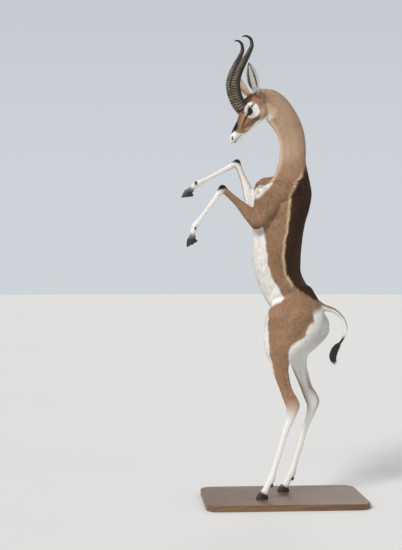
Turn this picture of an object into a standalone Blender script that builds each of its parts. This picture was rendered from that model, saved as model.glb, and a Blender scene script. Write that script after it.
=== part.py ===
# A male gerenuk upright on its hind legs, life size, as a still museum model on a flat base.
# Metres, +Z up. It faces -X with its left side towards -Y, and the origin is the centre of
# the base's underside. The flesh is one smooth body, parted by thin cuts at the joints.

import math
import random

import bmesh
import bpy
import numpy as np
from mathutils import Euler, Matrix, Vector

# Driving sizes
BASE_LENGTH = 0.80
BASE_WIDTH = 0.50
BASE_HEIGHT = 0.030
BASE_CORNER = 0.060
HEAD_SCALE = 1.06
HEAD_PITCH = math.radians(53)
HEAD_YAW = math.radians(14)
HEAD_PLACE = Vector((-0.099, 0.0, 2.001))
EYE_RADIUS = 0.0175
EYE_PLACE = Vector((0.121, 0.0320, 0.013))
EAR_LENGTH = 0.160
EAR_WIDTH = 0.078
HORN_RADIUS = 0.0225
HORN_RINGS = 17
HIND_STRIDE = 0.130
TOUCH_GAP = 0.0003
ROOT_GAP = 0.0004
SEED = 7

# Triangles that each surface is brought down to
BODY_TRIANGLES = 4100
HEAD_TRIANGLES = 3000
KEEP_FACTOR = 0.0005

# Colours: fawn flank, dark saddle, white underside, black tufts and horn
FAWN = (0.42, 0.21, 0.10)
WHITE = (0.80, 0.75, 0.68)
BLACK = (0.015, 0.012, 0.010)
HORN = (0.035, 0.028, 0.024)
WOOD = (0.33, 0.22, 0.13)

# Stations of the trunk and neck, all on the midline: belly side (x, z), back side (x, z),
# half width, and how much wider the back half is than the belly half
TRUNK = [
    ((0.085, 0.800), (0.205, 0.915), 0.040, 0.0),
    ((-0.005, 0.870), (0.168, 0.990), 0.078, 0.0),
    ((-0.070, 0.945), (0.122, 1.052), 0.094, 0.0),
    ((-0.122, 1.045), (0.092, 1.112), 0.096, -0.05),
    ((-0.150, 1.145), (0.090, 1.175), 0.107, -0.05),
    ((-0.156, 1.245), (0.096, 1.255), 0.112, 0.0),
    ((-0.152, 1.345), (0.112, 1.355), 0.106, 0.10),
    ((-0.143, 1.425), (0.135, 1.435), 0.094, 0.10),
    ((-0.124, 1.490), (0.146, 1.505), 0.080, 0.05),
    ((-0.090, 1.545), (0.138, 1.562), 0.066, 0.0),
    ((-0.050, 1.590), (0.127, 1.615), 0.055, 0.0),
    ((-0.029, 1.650), (0.117, 1.668), 0.051, 0.0),
    ((-0.019, 1.712), (0.117, 1.728), 0.047, 0.0),
    ((-0.020, 1.764), (0.111, 1.795), 0.045, 0.0),
    ((-0.037, 1.808), (0.090, 1.868), 0.044, 0.0),
    ((-0.060, 1.842), (0.052, 1.938), 0.043, 0.0),
    ((-0.084, 1.870), (0.003, 1.996), 0.042, 0.0),
    ((-0.106, 1.897), (-0.052, 2.028), 0.041, 0.0),
    ((-0.130, 1.926), (-0.105, 2.032), 0.037, 0.0),
]

# Stations of the left hind leg from haunch to coronet: front (x, z), rear (x, z),
# half width, distance from the midline
HIND_LEG = [
    ((-0.015, 1.030), (0.150, 1.020), 0.040, 0.048),
    ((-0.072, 0.945), (0.190, 0.930), 0.056, 0.062),
    ((-0.100, 0.880), (0.190, 0.868), 0.062, 0.074),
    ((-0.110, 0.812), (0.158, 0.798), 0.058, 0.084),
    ((-0.111, 0.758), (0.092, 0.738), 0.048, 0.094),
    ((-0.100, 0.710), (0.034, 0.694), 0.039, 0.100),
    ((-0.078, 0.660), (0.016, 0.652), 0.032, 0.101),
    ((-0.054, 0.592), (0.020, 0.592), 0.025, 0.099),
    ((-0.028, 0.525), (0.037, 0.530), 0.0185, 0.096),
    ((-0.012, 0.480), (0.060, 0.492), 0.0180, 0.094),
    ((0.003, 0.440), (0.071, 0.458), 0.0190, 0.093),
    ((0.002, 0.402), (0.052, 0.402), 0.0170, 0.092),
    ((-0.014, 0.345), (0.021, 0.338), 0.0130, 0.091),
    ((-0.048, 0.225), (-0.018, 0.216), 0.0122, 0.090),
    ((-0.075, 0.140), (-0.045, 0.130), 0.0125, 0.090),
    ((-0.094, 0.098), (-0.054, 0.084), 0.0165, 0.090),
    ((-0.109, 0.062), (-0.077, 0.050), 0.0155, 0.090),
    ((-0.134, 0.022), (-0.092, 0.006), 0.0190, 0.090),
]

# Joints of each foreleg: shoulder blade top, shoulder, elbow, knee, fetlock, coronet, toe tip
FORELEGS = {
    "left": [
        (0.065, -0.050, 1.535),
        (-0.090, -0.070, 1.500),
        (-0.136, -0.094, 1.362),
        (-0.3115, -0.094, 1.522),
        (-0.452, -0.080, 1.334),
        (-0.462, -0.078, 1.279),
        (-0.4725, -0.077, 1.216),
    ],
    "right": [
        (0.065, 0.050, 1.540),
        (-0.080, 0.070, 1.545),
        (-0.130, 0.096, 1.432),
        (-0.221, 0.098, 1.667),
        (-0.439, 0.080, 1.553),
        (-0.466, 0.078, 1.521),
        (-0.497, 0.077, 1.470),
    ],
}

# Bulk along each stretch of a foreleg: share of the way, front, rear and side radius
SHOULDER_BULK = [(0, 0.045, 0.060, 0.030), (0.5, 0.058, 0.075, 0.042), (1, 0.050, 0.058, 0.040)]
UPPER_ARM_BULK = [(0, 0.052, 0.085, 0.040), (0.5, 0.048, 0.078, 0.038), (1, 0.036, 0.042, 0.031)]
FOREARM_BULK = [
    (0, 0.038, 0.044, 0.033),
    (0.25, 0.034, 0.036, 0.029),
    (0.55, 0.023, 0.021, 0.021),
    (0.85, 0.0175, 0.0165, 0.0175),
    (1, 0.0200, 0.0170, 0.0200),
]
FORE_CANNON_BULK = [
    (0, 0.0190, 0.0185, 0.0200),
    (0.15, 0.0155, 0.0165, 0.0165),
    (0.4, 0.0120, 0.0140, 0.0122),
    (0.82, 0.0120, 0.0140, 0.0122),
    (1, 0.0170, 0.0190, 0.0170),
]
FORE_PASTERN_BULK = [
    (0, 0.0160, 0.0180, 0.0165),
    (0.5, 0.0140, 0.0150, 0.0150),
    (1.3, 0.0185, 0.0185, 0.0190),
]

# Stations of the head in its own frame, nose along +x and crown along +z: underside (x, z),
# top (x, z), half width
SKULL = [
    ((0.000, -0.036), (0.000, 0.028), 0.035),
    ((0.030, -0.050), (0.028, 0.047), 0.043),
    ((0.060, -0.054), (0.058, 0.057), 0.046),
    ((0.090, -0.052), (0.088, 0.062), 0.046),
    ((0.115, -0.045), (0.113, 0.058), 0.044),
    ((0.140, -0.038), (0.138, 0.044), 0.0375),
    ((0.165, -0.034), (0.164, 0.033), 0.0300),
    ((0.195, -0.031), (0.194, 0.026), 0.0250),
    ((0.225, -0.028), (0.224, 0.021), 0.0222),
    ((0.250, -0.026), (0.249, 0.015), 0.0212),
    ((0.264, -0.024), (0.263, 0.009), 0.0190),
    ((0.272, -0.021), (0.271, 0.001), 0.0130),
]
JAW = [
    ((0.045, -0.064), (0.045, -0.010), 0.033),
    ((0.072, -0.073), (0.070, -0.015), 0.034),
    ((0.102, -0.070), (0.100, -0.015), 0.030),
    ((0.140, -0.060), (0.140, -0.015), 0.0245),
    ((0.180, -0.050), (0.180, -0.018), 0.0195),
    ((0.220, -0.0425), (0.220, -0.018), 0.0170),
    ((0.246, -0.0405), (0.246, -0.019), 0.0158),
    ((0.262, -0.0365), (0.262, -0.019), 0.0125),
]

# Rounded masses of the head's left side: centre and half sizes
HEAD_MASSES = {
    "cheek": ((0.082, 0.028, -0.030), (0.046, 0.018, 0.034)),
    "upper lip": ((0.162, 0.017, -0.026), (0.044, 0.012, 0.019)),
    "orbit": (EYE_PLACE, (0.0200, 0.0190, 0.0192)),
    "brow": ((0.122, 0.035, 0.026), (0.024, 0.0125, 0.010)),
    "ear root": ((0.032, 0.034, 0.026), (0.021, 0.014, 0.019)),
    "horn root": ((0.118, 0.025, 0.034), (0.0200, 0.0165, 0.021)),
    "nostril wing": ((0.2625, 0.0115, -0.004), (0.0125, 0.0085, 0.0100)),
}

# Mouth line in the head's frame, from the tip of the lips to the left corner
MOUTH_LINE = [
    (0.2790, 0.0000, -0.0225),
    (0.2700, 0.0115, -0.0228),
    (0.2500, 0.0190, -0.0242),
    (0.2280, 0.0215, -0.0262),
    (0.2120, 0.0232, -0.0268),
    (0.2020, 0.0245, -0.0266),
]
MOUTH_REACH = 0.0030
MOUTH_DEPTH = 0.0022
LIP_GAP = 0.0026
LIP_DEPTH = 0.0060
LIP_MARGIN = 0.0080

# Lids and nostril, left side
LID_LONG = 0.0165
LID_TALL = 0.0105
LID_TILT = math.radians(-24)
LID_THICK = 0.0011
LID_BEAD = (0.0030, 0.0022, 0.0030)
NOSTRIL_LINE = [(0.2740, 0.0095, -0.0075), (0.2700, 0.0135, -0.0010), (0.2610, 0.0165, 0.0030)]
NOSTRIL_REACH = 0.0034
NOSTRIL_DEPTH = 0.0024
NOSTRIL_WIDTHS = (0.0020, 0.0048, 0.0016)
NOSTRIL_CUT = 0.0045

# Horn curve in the head's frame, left side, from the brow to the forward-hooked tip
HORN_CURVE = [
    (0.122, 0.0235, 0.026),
    (0.114, 0.026, 0.066),
    (0.090, 0.032, 0.113),
    (0.058, 0.041, 0.146),
    (0.014, 0.051, 0.166),
    (-0.036, 0.059, 0.177),
    (-0.087, 0.063, 0.185),
    (-0.125, 0.063, 0.196),
    (-0.144, 0.060, 0.219),
    (-0.141, 0.056, 0.241),
    (-0.127, 0.053, 0.254),
]

# Tail curve on the midline (x, z) with its radius, then the tuft's axis and its core's radii
TAIL = [
    (0.160, 0.960, 0.026),
    (0.205, 0.938, 0.019),
    (0.262, 0.918, 0.014),
    (0.302, 0.880, 0.0115),
    (0.318, 0.832, 0.0100),
    (0.306, 0.786, 0.0085),
    (0.284, 0.752, 0.0075),
]
TUFT = [(0.293, 0.765), (0.262, 0.722), (0.252, 0.694), (0.256, 0.668), (0.266, 0.650)]
TUFT_CORE = (0.0078, 0.0080, 0.0065)

# The tuft's whole length and width, its tiers of locks (start and length as shares of the
# whole, count), and a lock's width and thickness from root to tip
TUFT_LENGTH = 0.125
TUFT_WIDTH = 0.040
TUFT_TIERS = [(0.02, 0.46, 5), (0.22, 0.50, 6), (0.40, 0.54, 6), (0.56, 0.52, 4)]
LOCK_WIDTH = 0.0165
LOCK_THICK = 0.0052
LOCK_BULK = [(0.55, 0.9), (1.0, 1.0), (0.62, 0.70), (0.05, 0.12)]

# Where the flesh is parted: haunches, neck, tail and the stations of the hind legs
HIP_APEX = Vector((0.06, 0.0, 0.825))
HIP_LEAN = math.radians(30)
NECK_BASE = Vector((0.042, 0.0, 1.630))
NECK_BASE_NORMAL = Vector((-0.13, 0.0, 0.99))
NAPE = Vector((-0.042, 0.0, 1.931))
NAPE_NORMAL = Vector((-0.822, 0.0, 0.570))
TAIL_ROOT = Vector((0.236, 0.0, 0.927))
TAIL_ROOT_NORMAL = Vector((0.935, 0.0, -0.35))
TAIL_END = Vector((0.290, 0.0, 0.7605))
TAIL_END_NORMAL = Vector((-0.545, 0.0, -0.838))
STIFLE_ROW = 5
HOCK_ROW = 9
FETLOCK_ROW = 14
FOREARM_START = {"left": 0.30, "right": 0.42}
CANNON_SPAN = (0.10, 0.90)

# Radii of the discs that part the flesh, and the sheets that part the haunches: length, height
NECK_DISC = 0.120
NAPE_DISC = 0.092
TAIL_DISC = 0.032
STIFLE_DISC = 0.085
HOCK_DISC = 0.055
FETLOCK_DISC = 0.030
FOREARM_DISC = 0.046
TAIL_BLOCK = 0.040
HIP_SHEET = (0.50, 0.32)

# A hoof in its own frame: toe ahead along +x, sole at z = 0
HOOF_HEEL = -0.0200
HOOF_TOE = 0.0400
CORONET_FRONT = 0.0170
HOOF_SLOPE = math.radians(52)
CORONET_SLOPE = math.radians(25)
CORONET_PLACE = Vector((-0.0030, 0.0, 0.0270))
CLAW_WIDTH = 0.0155
CLEFT = 0.0026
HIND_FOOT_X = -0.108
HIND_FOOT_Y = 0.090
DEWCLAW_HIND = (-0.0375, 0.0115, 0.066)
DEWCLAW_FORE = (-0.0400, 0.0125, 0.064)

# An ear in the head's frame: its root, lean and facing, then stations along it with half its
# unrolled width as a share of the whole, how far it wraps round, its thickness and its sway
EAR_ROOT = (0.030, 0.040, 0.030)
EAR_LEAN = (-0.40, 0.42, 0.85)
EAR_FACE = (0.75, 0.75, 0.0)
EAR_STATIONS = [
    (-0.14, 0.27, 160, 0.0080, -0.004),
    (0.04, 0.30, 148, 0.0050, -0.002),
    (0.18, 0.38, 118, 0.0038, -0.001),
    (0.32, 0.47, 92, 0.0032, -0.003),
    (0.48, 0.50, 76, 0.0028, -0.004),
    (0.64, 0.45, 66, 0.0026, -0.004),
    (0.78, 0.34, 58, 0.0024, -0.002),
    (0.90, 0.20, 48, 0.0020, 0.001),
    (0.97, 0.09, 40, 0.0017, 0.003),
    (1.00, 0.025, 30, 0.0012, 0.004),
]

# Share of the horn's length that is ringed, and how high each ring stands
HORN_ROOT = 0.095
HORN_RINGED = 0.66
HORN_RIDGE = 0.0028

# Fineness of the skins before they are thinned
BODY_VOXEL = 0.006
HEAD_VOXEL = 0.0023


def clear_scene():
    for obj in list(bpy.data.objects):
        bpy.data.objects.remove(obj)


def unit(vectors):
    """Vectors of length one, for one vector or a column of them."""
    return vectors / np.linalg.norm(vectors, axis=-1, keepdims=True)


def smooth_rows(rows, spacing):
    """Rows read off one smooth curve through the stations, about this far apart."""
    rows = np.array(rows, float)
    middle = (rows[:, 0:3] + rows[:, 3:6]) / 2
    steps = np.linalg.norm(np.diff(middle, axis=0), axis=1)
    knots = np.concatenate([[0.0], np.cumsum(steps)])
    slopes = np.gradient(rows, knots, axis=0)
    at = np.linspace(0, knots[-1], max(4, round(knots[-1] / spacing)))
    first = np.clip(np.searchsorted(knots, at, side="right") - 1, 0, len(knots) - 2)
    span = (knots[first + 1] - knots[first])[:, None]
    u = (at[:, None] - knots[first][:, None]) / span
    return (
        (2 * u**3 - 3 * u**2 + 1) * rows[first]
        + (u**3 - 2 * u**2 + u) * span * slopes[first]
        + (3 * u**2 - 2 * u**3) * rows[first + 1]
        + (u**3 - u**2) * span * slopes[first + 1]
    )


def add_rings(shape, rings):
    """Adds a closed tube through rings of points, with a fan at each end."""
    corners = [[shape.verts.new(point) for point in ring] for ring in rings]
    sides = len(corners[0])
    for one, other in zip(corners, corners[1:]):
        for i in range(sides):
            j = (i + 1) % sides
            shape.faces.new((one[i], one[j], other[j], other[i]))
    for ring, turned in ((corners[0], True), (corners[-1], False)):
        pole = shape.verts.new(sum((v.co for v in ring), Vector()) / sides)
        for i in range(sides):
            pair = (ring[(i + 1) % sides], ring[i])
            shape.faces.new((pair if turned else pair[::-1]) + (pole,))


def add_loft(shape, rows, spacing=0.012, sides=24, domed=True):
    """Adds a tube whose rings run from a front point round to a back point of each row."""
    rows = smooth_rows(rows, spacing)
    front, back, width, egg = rows[:, 0:3], rows[:, 3:6], rows[:, 6], rows[:, 7]
    middle, half = (front + back) / 2, (back - front) / 2
    along = unit(np.gradient(middle, axis=0))
    side = unit(np.cross(along, half))
    angle = np.arange(sides) * 2 * math.pi / sides

    def ring(i, scale, shift):
        around = -np.cos(angle)[:, None] * half[i]
        across = (np.sin(angle) * width[i] * (1 - egg[i] * np.cos(angle)))[:, None] * side[i]
        return middle[i] + shift * along[i] + scale * (around + across)

    rings = [ring(i, 1.0, 0.0) for i in range(len(rows))]
    if domed:
        for turn in (30, 60, 80):
            sink, rise = math.cos(math.radians(turn)), math.sin(math.radians(turn))
            rings.insert(0, ring(0, sink, -rise * width[0]))
            rings.append(ring(-1, sink, rise * width[-1]))
    add_rings(shape, rings)


def midline_rows(stations, offset=0.0):
    """Loft rows for stations in the plane of the midline, moved sideways by the offset."""
    return [(v[0], offset, v[1], d[0], offset, d[1], width, egg) for v, d, width, egg in stations]


def head_rows(stations):
    return midline_rows([(*station, 0.0) for station in stations])


def limb_rows(start, end, bulk):
    """Loft rows along a straight stretch of limb, its front being the outer side of a bend."""
    start, end = np.array(start), np.array(end)
    forward = unit(np.cross((0.0, 1.0, 0.0), end - start))
    rows = []
    for share, front, rear, side in bulk:
        centre = start + (end - start) * share
        rows.append((*(centre + forward * front), *(centre - forward * rear), side, 0.0))
    return rows


def stride_shift(height):
    """How far the right hind leg stands behind the left one, at a height above the soles."""
    planted, hip = 0.45, 0.96
    rise = min(max((height - planted) / (hip - planted), 0.0), 1.0)
    return HIND_STRIDE * (1 - rise**3)


def hind_rows(side):
    """Loft rows of a hind leg. The right one stands a stride behind the left."""
    across = -1 if side == "left" else 1
    rows = []
    for front, rear, width, out in HIND_LEG:
        shift = stride_shift((front[1] + rear[1]) / 2) if side == "right" else 0.0
        place = across * out
        rows.append((front[0] + shift, place, front[1], rear[0] + shift, place, rear[1], width, 0.0))
    return rows


def head_matrix():
    """From the head's own frame to the animal's, nose down and turned a little to its left."""
    nose_ahead = Matrix(((-1, 0, 0), (0, -1, 0), (0, 0, 1))).to_4x4()
    turn = Euler((0.0, HEAD_PITCH, 0.0)).to_matrix().to_4x4()
    yaw = Matrix.Rotation(HEAD_YAW, 4, "Z")
    return Matrix.Translation(HEAD_PLACE) @ yaw @ nose_ahead @ turn @ Matrix.Scale(HEAD_SCALE, 4)


def add_ball(shape, centre, radii):
    """Adds an ellipsoid."""
    matrix = Matrix.Translation(centre) @ Matrix.Diagonal((*radii, 1))
    bmesh.ops.create_icosphere(shape, subdivisions=3, radius=1.0, matrix=matrix)


def mirrored(point):
    return Vector((point[0], -point[1], point[2]))


def both_sides(point):
    """A left-hand point and its twin on the right."""
    return (Vector(point), mirrored(point))


def lid_points(scale, count=16):
    """Points round the almond opening of the left eye, in the head's frame, at the eye's depth."""
    points = []
    for k in range(count):
        a = 2 * math.pi * k / count
        long = scale * LID_LONG * math.cos(a)
        tall = scale * LID_TALL * math.sin(a) * (1 - 0.25 * abs(math.cos(a)))
        ahead = long * math.cos(LID_TILT) - tall * math.sin(LID_TILT)
        up = long * math.sin(LID_TILT) + tall * math.cos(LID_TILT)
        points.append(EYE_PLACE + Vector((ahead, 0.0, up)))
    return points


def add_lids(shape, radius):
    """Adds a rounded rim that follows the almond opening over each eyeball."""
    rim = []
    for point in lid_points(1.12, 20):
        inward = point - EYE_PLACE
        depth = math.sqrt(max(radius**2 - inward.length_squared, 0.0))
        rim.append(point + Vector((0.0, depth, 0.0)))
    for point in rim:
        for place in both_sides(point):
            add_ball(shape, place, LID_BEAD)


def add_head(shape):
    """Adds the head's masses in its own frame: skull, jaw, the rounded masses and the lids."""
    add_loft(shape, head_rows(SKULL), 0.006, 28)
    add_loft(shape, head_rows(JAW), 0.006, 24)
    for centre, radii in HEAD_MASSES.values():
        for place in both_sides(centre):
            add_ball(shape, place, radii)
    add_lids(shape, EYE_RADIUS + LID_THICK)


def add_body(shape):
    """Adds every mass of the trunk, neck and legs."""
    add_loft(shape, midline_rows(TRUNK), 0.015, 32)
    for side, joints in FORELEGS.items():
        blade, shoulder, elbow, knee, fetlock, coronet, _ = joints
        add_loft(shape, limb_rows(blade, shoulder, SHOULDER_BULK))
        add_loft(shape, limb_rows(shoulder, elbow, UPPER_ARM_BULK))
        add_loft(shape, limb_rows(elbow, knee, FOREARM_BULK))
        add_loft(shape, limb_rows(knee, fetlock, FORE_CANNON_BULK))
        add_loft(shape, limb_rows(fetlock, coronet, FORE_PASTERN_BULK), 0.008)
        add_loft(shape, hind_rows(side))


def mesh_object(name, shape):
    """An object from a bmesh, with its faces turned outwards."""
    bmesh.ops.recalc_face_normals(shape, faces=shape.faces)
    mesh = bpy.data.meshes.new(name)
    shape.to_mesh(mesh)
    shape.free()
    obj = bpy.data.objects.new(name, mesh)
    bpy.context.scene.collection.objects.link(obj)
    return obj


def settle(obj):
    """Applies an object's modifiers to its mesh."""
    graph = bpy.context.evaluated_depsgraph_get()
    mesh = bpy.data.meshes.new_from_object(obj.evaluated_get(graph))
    obj.modifiers.clear()
    obj.data = mesh


def fuse(obj, voxel):
    """Makes overlapping shapes one closed skin."""
    modifier = obj.modifiers.new("Fuse", "REMESH")
    modifier.mode = "VOXEL"
    modifier.voxel_size = voxel
    settle(obj)


def coordinates(mesh):
    points = np.empty(len(mesh.vertices) * 3)
    mesh.vertices.foreach_get("co", points)
    return points.reshape(-1, 3)


def relax(mesh, rounds):
    """Smooths the skin and fillets its joins without shrinking it."""
    points = coordinates(mesh)
    ends = np.empty(len(mesh.edges) * 2, int)
    mesh.edges.foreach_get("vertices", ends)
    ends = ends.reshape(-1, 2)
    count = np.bincount(ends.ravel(), minlength=len(points))[:, None]
    for _ in range(rounds):
        for pull in (0.55, -0.57):
            total = np.zeros_like(points)
            for axis in range(3):
                total[:, axis] = np.bincount(ends[:, 0], points[ends[:, 1], axis], len(points))
                total[:, axis] += np.bincount(ends[:, 1], points[ends[:, 0], axis], len(points))
            points += pull * (total / count - points)
    mesh.vertices.foreach_set("co", points.ravel())
    mesh.update()


def line_distance(points, line):
    """Distance from each point to a polyline."""
    best = np.full(len(points), np.inf)
    for start, end in zip(line, line[1:]):
        start, way = np.array(start), np.array(end) - np.array(start)
        share = np.clip((points - start) @ way / (way @ way), 0, 1)
        best = np.minimum(best, np.linalg.norm(points - start - share[:, None] * way, axis=1))
    return best


def press(mesh, line, reach, depth):
    """Presses a groove, or with a negative depth raises a ridge, along a line on the skin."""
    points = coordinates(mesh)
    normals = np.empty(len(points) * 3)
    mesh.vertices.foreach_get("normal", normals)
    weight = np.exp(-((line_distance(points, line) / reach) ** 2))
    points -= depth * weight[:, None] * normals.reshape(-1, 3)
    mesh.vertices.foreach_set("co", points.ravel())
    mesh.update()


def thin_out(obj, triangles, keep=None):
    """Brings the mesh down to this many triangles, keeping more of them where keep is high."""
    obj.data.calc_loop_triangles()
    modifier = obj.modifiers.new("Thin", "DECIMATE")
    modifier.ratio = triangles / len(obj.data.loop_triangles)
    if keep is not None:
        group = obj.vertex_groups.new(name="keep")
        for level in (0.25, 0.5, 0.75, 1.0):
            chosen = np.flatnonzero((keep > level - 0.25) & (keep <= level))
            group.add([int(i) for i in chosen], level, "REPLACE")
        modifier.vertex_group = "keep"
        modifier.invert_vertex_group = True
        modifier.vertex_group_factor = KEEP_FACTOR
    settle(obj)


def boolean(obj, others, operation, solver="EXACT"):
    """Applies one Boolean between an object and a list of closed helpers, then removes them."""
    helpers = bpy.data.collections.new("helpers")
    for other in others:
        helpers.objects.link(other)
    modifier = obj.modifiers.new("Join", "BOOLEAN")
    modifier.operation = operation
    modifier.solver = solver
    modifier.operand_type = "COLLECTION"
    modifier.collection = helpers
    settle(obj)
    for other in others:
        bpy.data.objects.remove(other)
    bpy.data.collections.remove(helpers)


def slab(centre, normal, radius, thick=TOUCH_GAP):
    """A thin disc that parts the flesh at a joint."""
    shape = bmesh.new()
    turn = Vector(normal).to_track_quat("Z", "Y").to_matrix().to_4x4()
    matrix = Matrix.Translation(centre) @ turn
    bmesh.ops.create_cone(
        shape, cap_ends=True, segments=24, radius1=radius, radius2=radius, depth=thick, matrix=matrix
    )
    return mesh_object("slab", shape)


def loose_pieces(obj):
    """Splits an object into its separate closed pieces and removes it."""
    shape = bmesh.new()
    shape.from_mesh(obj.data)
    left = set(shape.verts)
    pieces = []
    while left:
        found, reached = [left.pop()], {}
        while found:
            vert = found.pop()
            reached[vert] = len(reached)
            for edge in vert.link_edges:
                other = edge.other_vert(vert)
                if other in left:
                    left.remove(other)
                    found.append(other)
        faces = sorted({face for vert in reached for face in vert.link_faces}, key=lambda face: face.index)
        faces = [[reached[vert] for vert in face.verts] for face in faces]
        mesh = bpy.data.meshes.new(obj.name)
        mesh.from_pydata([vert.co for vert in reached], [], faces)
        piece = bpy.data.objects.new(obj.name, mesh)
        bpy.context.scene.collection.objects.link(piece)
        pieces.append(piece)
    shape.free()
    bpy.data.objects.remove(obj)
    return pieces


def volume(obj):
    shape = bmesh.new()
    shape.from_mesh(obj.data)
    found = abs(shape.calc_volume())
    shape.free()
    return found


def largest_piece(obj, name):
    """Keeps an object's largest closed piece under this name."""
    pieces = sorted(loose_pieces(obj), key=volume)
    for piece in pieces[:-1]:
        bpy.data.objects.remove(piece)
    pieces[-1].name = name
    return pieces[-1]


def middle_of(obj):
    return Vector(coordinates(obj.data).mean(axis=0))


def name_pieces(pieces, labels):
    """Names each piece after the nearest label point, and drops the scraps."""
    named = {}
    for name, place in labels.items():
        nearest = min(pieces, key=lambda piece: (middle_of(piece) - Vector(place)).length)
        pieces.remove(nearest)
        nearest.name = name
        named[name] = nearest
    for scrap in pieces:
        bpy.data.objects.remove(scrap)
    return named


def along(start, end, share):
    return Vector(start).lerp(Vector(end), share)


def row_slab(row, radius):
    """A parting disc through one station of a leg, square to it."""
    front, back = Vector(row[0:3]), Vector(row[3:6])
    return slab((front + back) / 2, (back - front).cross((0, 1, 0)), radius)


def hip_slabs():
    """Parting sheets of the haunches: one up and out to each side, one down the midline."""
    long, tall = HIP_SHEET
    sheets = []
    for lean in (-HIP_LEAN, HIP_LEAN, math.pi):
        turn = Matrix.Rotation(-lean, 4, "X")
        shape = bmesh.new()
        matrix = Matrix.Translation(HIP_APEX) @ turn @ Matrix.Translation((0, 0, tall / 2))
        bmesh.ops.create_cube(shape, matrix=matrix @ Matrix.Diagonal((long, TOUCH_GAP, tall, 1)))
        sheets.append(mesh_object("sheet", shape))
    return sheets


def foot_matrices():
    """Each foot's own frame: toe ahead along +x, sole at z = 0, midway between its claws."""
    feet = {}
    for side, across in (("l", -1), ("r", 1)):
        shift = HIND_STRIDE if side == "r" else 0.0
        turned = Matrix.Rotation(math.pi, 4, "Z")
        feet["hind", side] = Matrix.Translation((HIND_FOOT_X + shift, across * HIND_FOOT_Y, 0)) @ turned
        _, _, _, _, _, coronet, toe = FORELEGS["left" if side == "l" else "right"]
        ahead = Vector(toe) - Vector(coronet)
        turn = math.atan2(-ahead.z, -ahead.x) - HOOF_SLOPE
        tipped = Matrix.Rotation(-turn, 4, "Y") @ turned
        feet["fore", side] = Matrix.Translation(coronet) @ tipped @ Matrix.Translation(-CORONET_PLACE)
    return feet


def coronet_block(matrix):
    """Everything of a foot's flesh below the slanting coronet, as a cutter."""
    turn = Matrix.Rotation(-CORONET_SLOPE, 4, "Y")
    shape = bmesh.new()
    deep = 0.07
    matrix = matrix @ Matrix.Translation(CORONET_PLACE) @ turn @ Matrix.Translation((0, 0, -deep / 2))
    bmesh.ops.create_cube(shape, matrix=matrix @ Matrix.Diagonal((0.11, 0.07, deep, 1)))
    return mesh_object("block", shape)


def body_cutters():
    """The thin sheets and discs at the joints, and the blocks below the coronets."""
    cutters = hip_slabs()
    cutters.append(slab(NECK_BASE, NECK_BASE_NORMAL, NECK_DISC))
    cutters.append(slab(NAPE, NAPE_NORMAL, NAPE_DISC))
    cutters.append(slab(TAIL_ROOT, TAIL_ROOT_NORMAL, TAIL_DISC))
    beyond = TAIL_END + TAIL_END_NORMAL * (TAIL_BLOCK / 2)
    cutters.append(slab(beyond, TAIL_END_NORMAL, TAIL_DISC, TAIL_BLOCK))
    for side in ("left", "right"):
        rows = hind_rows(side)
        cutters.append(row_slab(rows[STIFLE_ROW], STIFLE_DISC))
        cutters.append(row_slab(rows[HOCK_ROW], HOCK_DISC))
        cutters.append(row_slab(rows[FETLOCK_ROW], FETLOCK_DISC))
        elbow, knee, fetlock = (Vector(joint) for joint in FORELEGS[side][2:5])
        cutters.append(slab(along(elbow, knee, FOREARM_START[side]), knee - elbow, FOREARM_DISC))
        for share in CANNON_SPAN:
            cutters.append(slab(along(knee, fetlock, share), fetlock - knee, FETLOCK_DISC))
    cutters.extend(coronet_block(matrix) for matrix in foot_matrices().values())
    return cutters


def body_labels():
    """A point in the middle of each piece of the parted body."""
    labels = {
        "torso": (-0.02, 0.0, 1.25),
        "neck": (0.04, 0.0, 1.76),
        "head_core": (-0.09, 0.0, 1.97),
        "tail": (0.27, 0.0, 0.86),
    }
    for side, mark in (("left", "l"), ("right", "r")):
        rows = [(Vector(row[0:3]) + Vector(row[3:6])) / 2 for row in hind_rows(side)]
        labels["thigh_" + mark] = rows[3]
        labels["shank_" + mark] = along(rows[STIFLE_ROW], rows[HOCK_ROW], 0.5)
        labels["hind_cannon_" + mark] = along(rows[HOCK_ROW], rows[FETLOCK_ROW], 0.5)
        labels["hind_pastern_" + mark] = rows[-2]
        _, _, elbow, knee, fetlock, coronet, _ = FORELEGS[side]
        labels["forearm_" + mark] = along(elbow, knee, 0.65)
        labels["fore_cannon_" + mark] = along(knee, fetlock, 0.5)
        labels["fore_pastern_" + mark] = along(fetlock, coronet, 0.4)
    return labels


def tail_rows(stations, offset=0.0):
    """Loft rows of a round tail, its front side facing ahead and down."""
    centres = np.array([(x, z) for x, z, _ in stations])
    ways = unit(np.gradient(centres, axis=0))
    rows = []
    for (x, z), (dx, dz), (_, _, radius) in zip(centres, ways, stations):
        front, back = (x + dz * radius, offset, z - dx * radius), (x - dz * radius, offset, z + dx * radius)
        rows.append((*front, *back, radius, 0.0))
    return rows


def make_body():
    """The trunk, neck, tail and legs as one skin, parted at the joints. The pieces by name."""
    shape = bmesh.new()
    add_body(shape)
    add_loft(shape, tail_rows(TAIL), 0.010, 20)
    body = mesh_object("body", shape)
    fuse(body, BODY_VOXEL)
    relax(body.data, 24)
    thin_out(body, BODY_TRIANGLES)
    boolean(body, body_cutters(), "DIFFERENCE")
    pieces = name_pieces(loose_pieces(body), body_labels())
    bpy.data.objects.remove(pieces.pop("head_core"))
    return pieces


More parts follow.
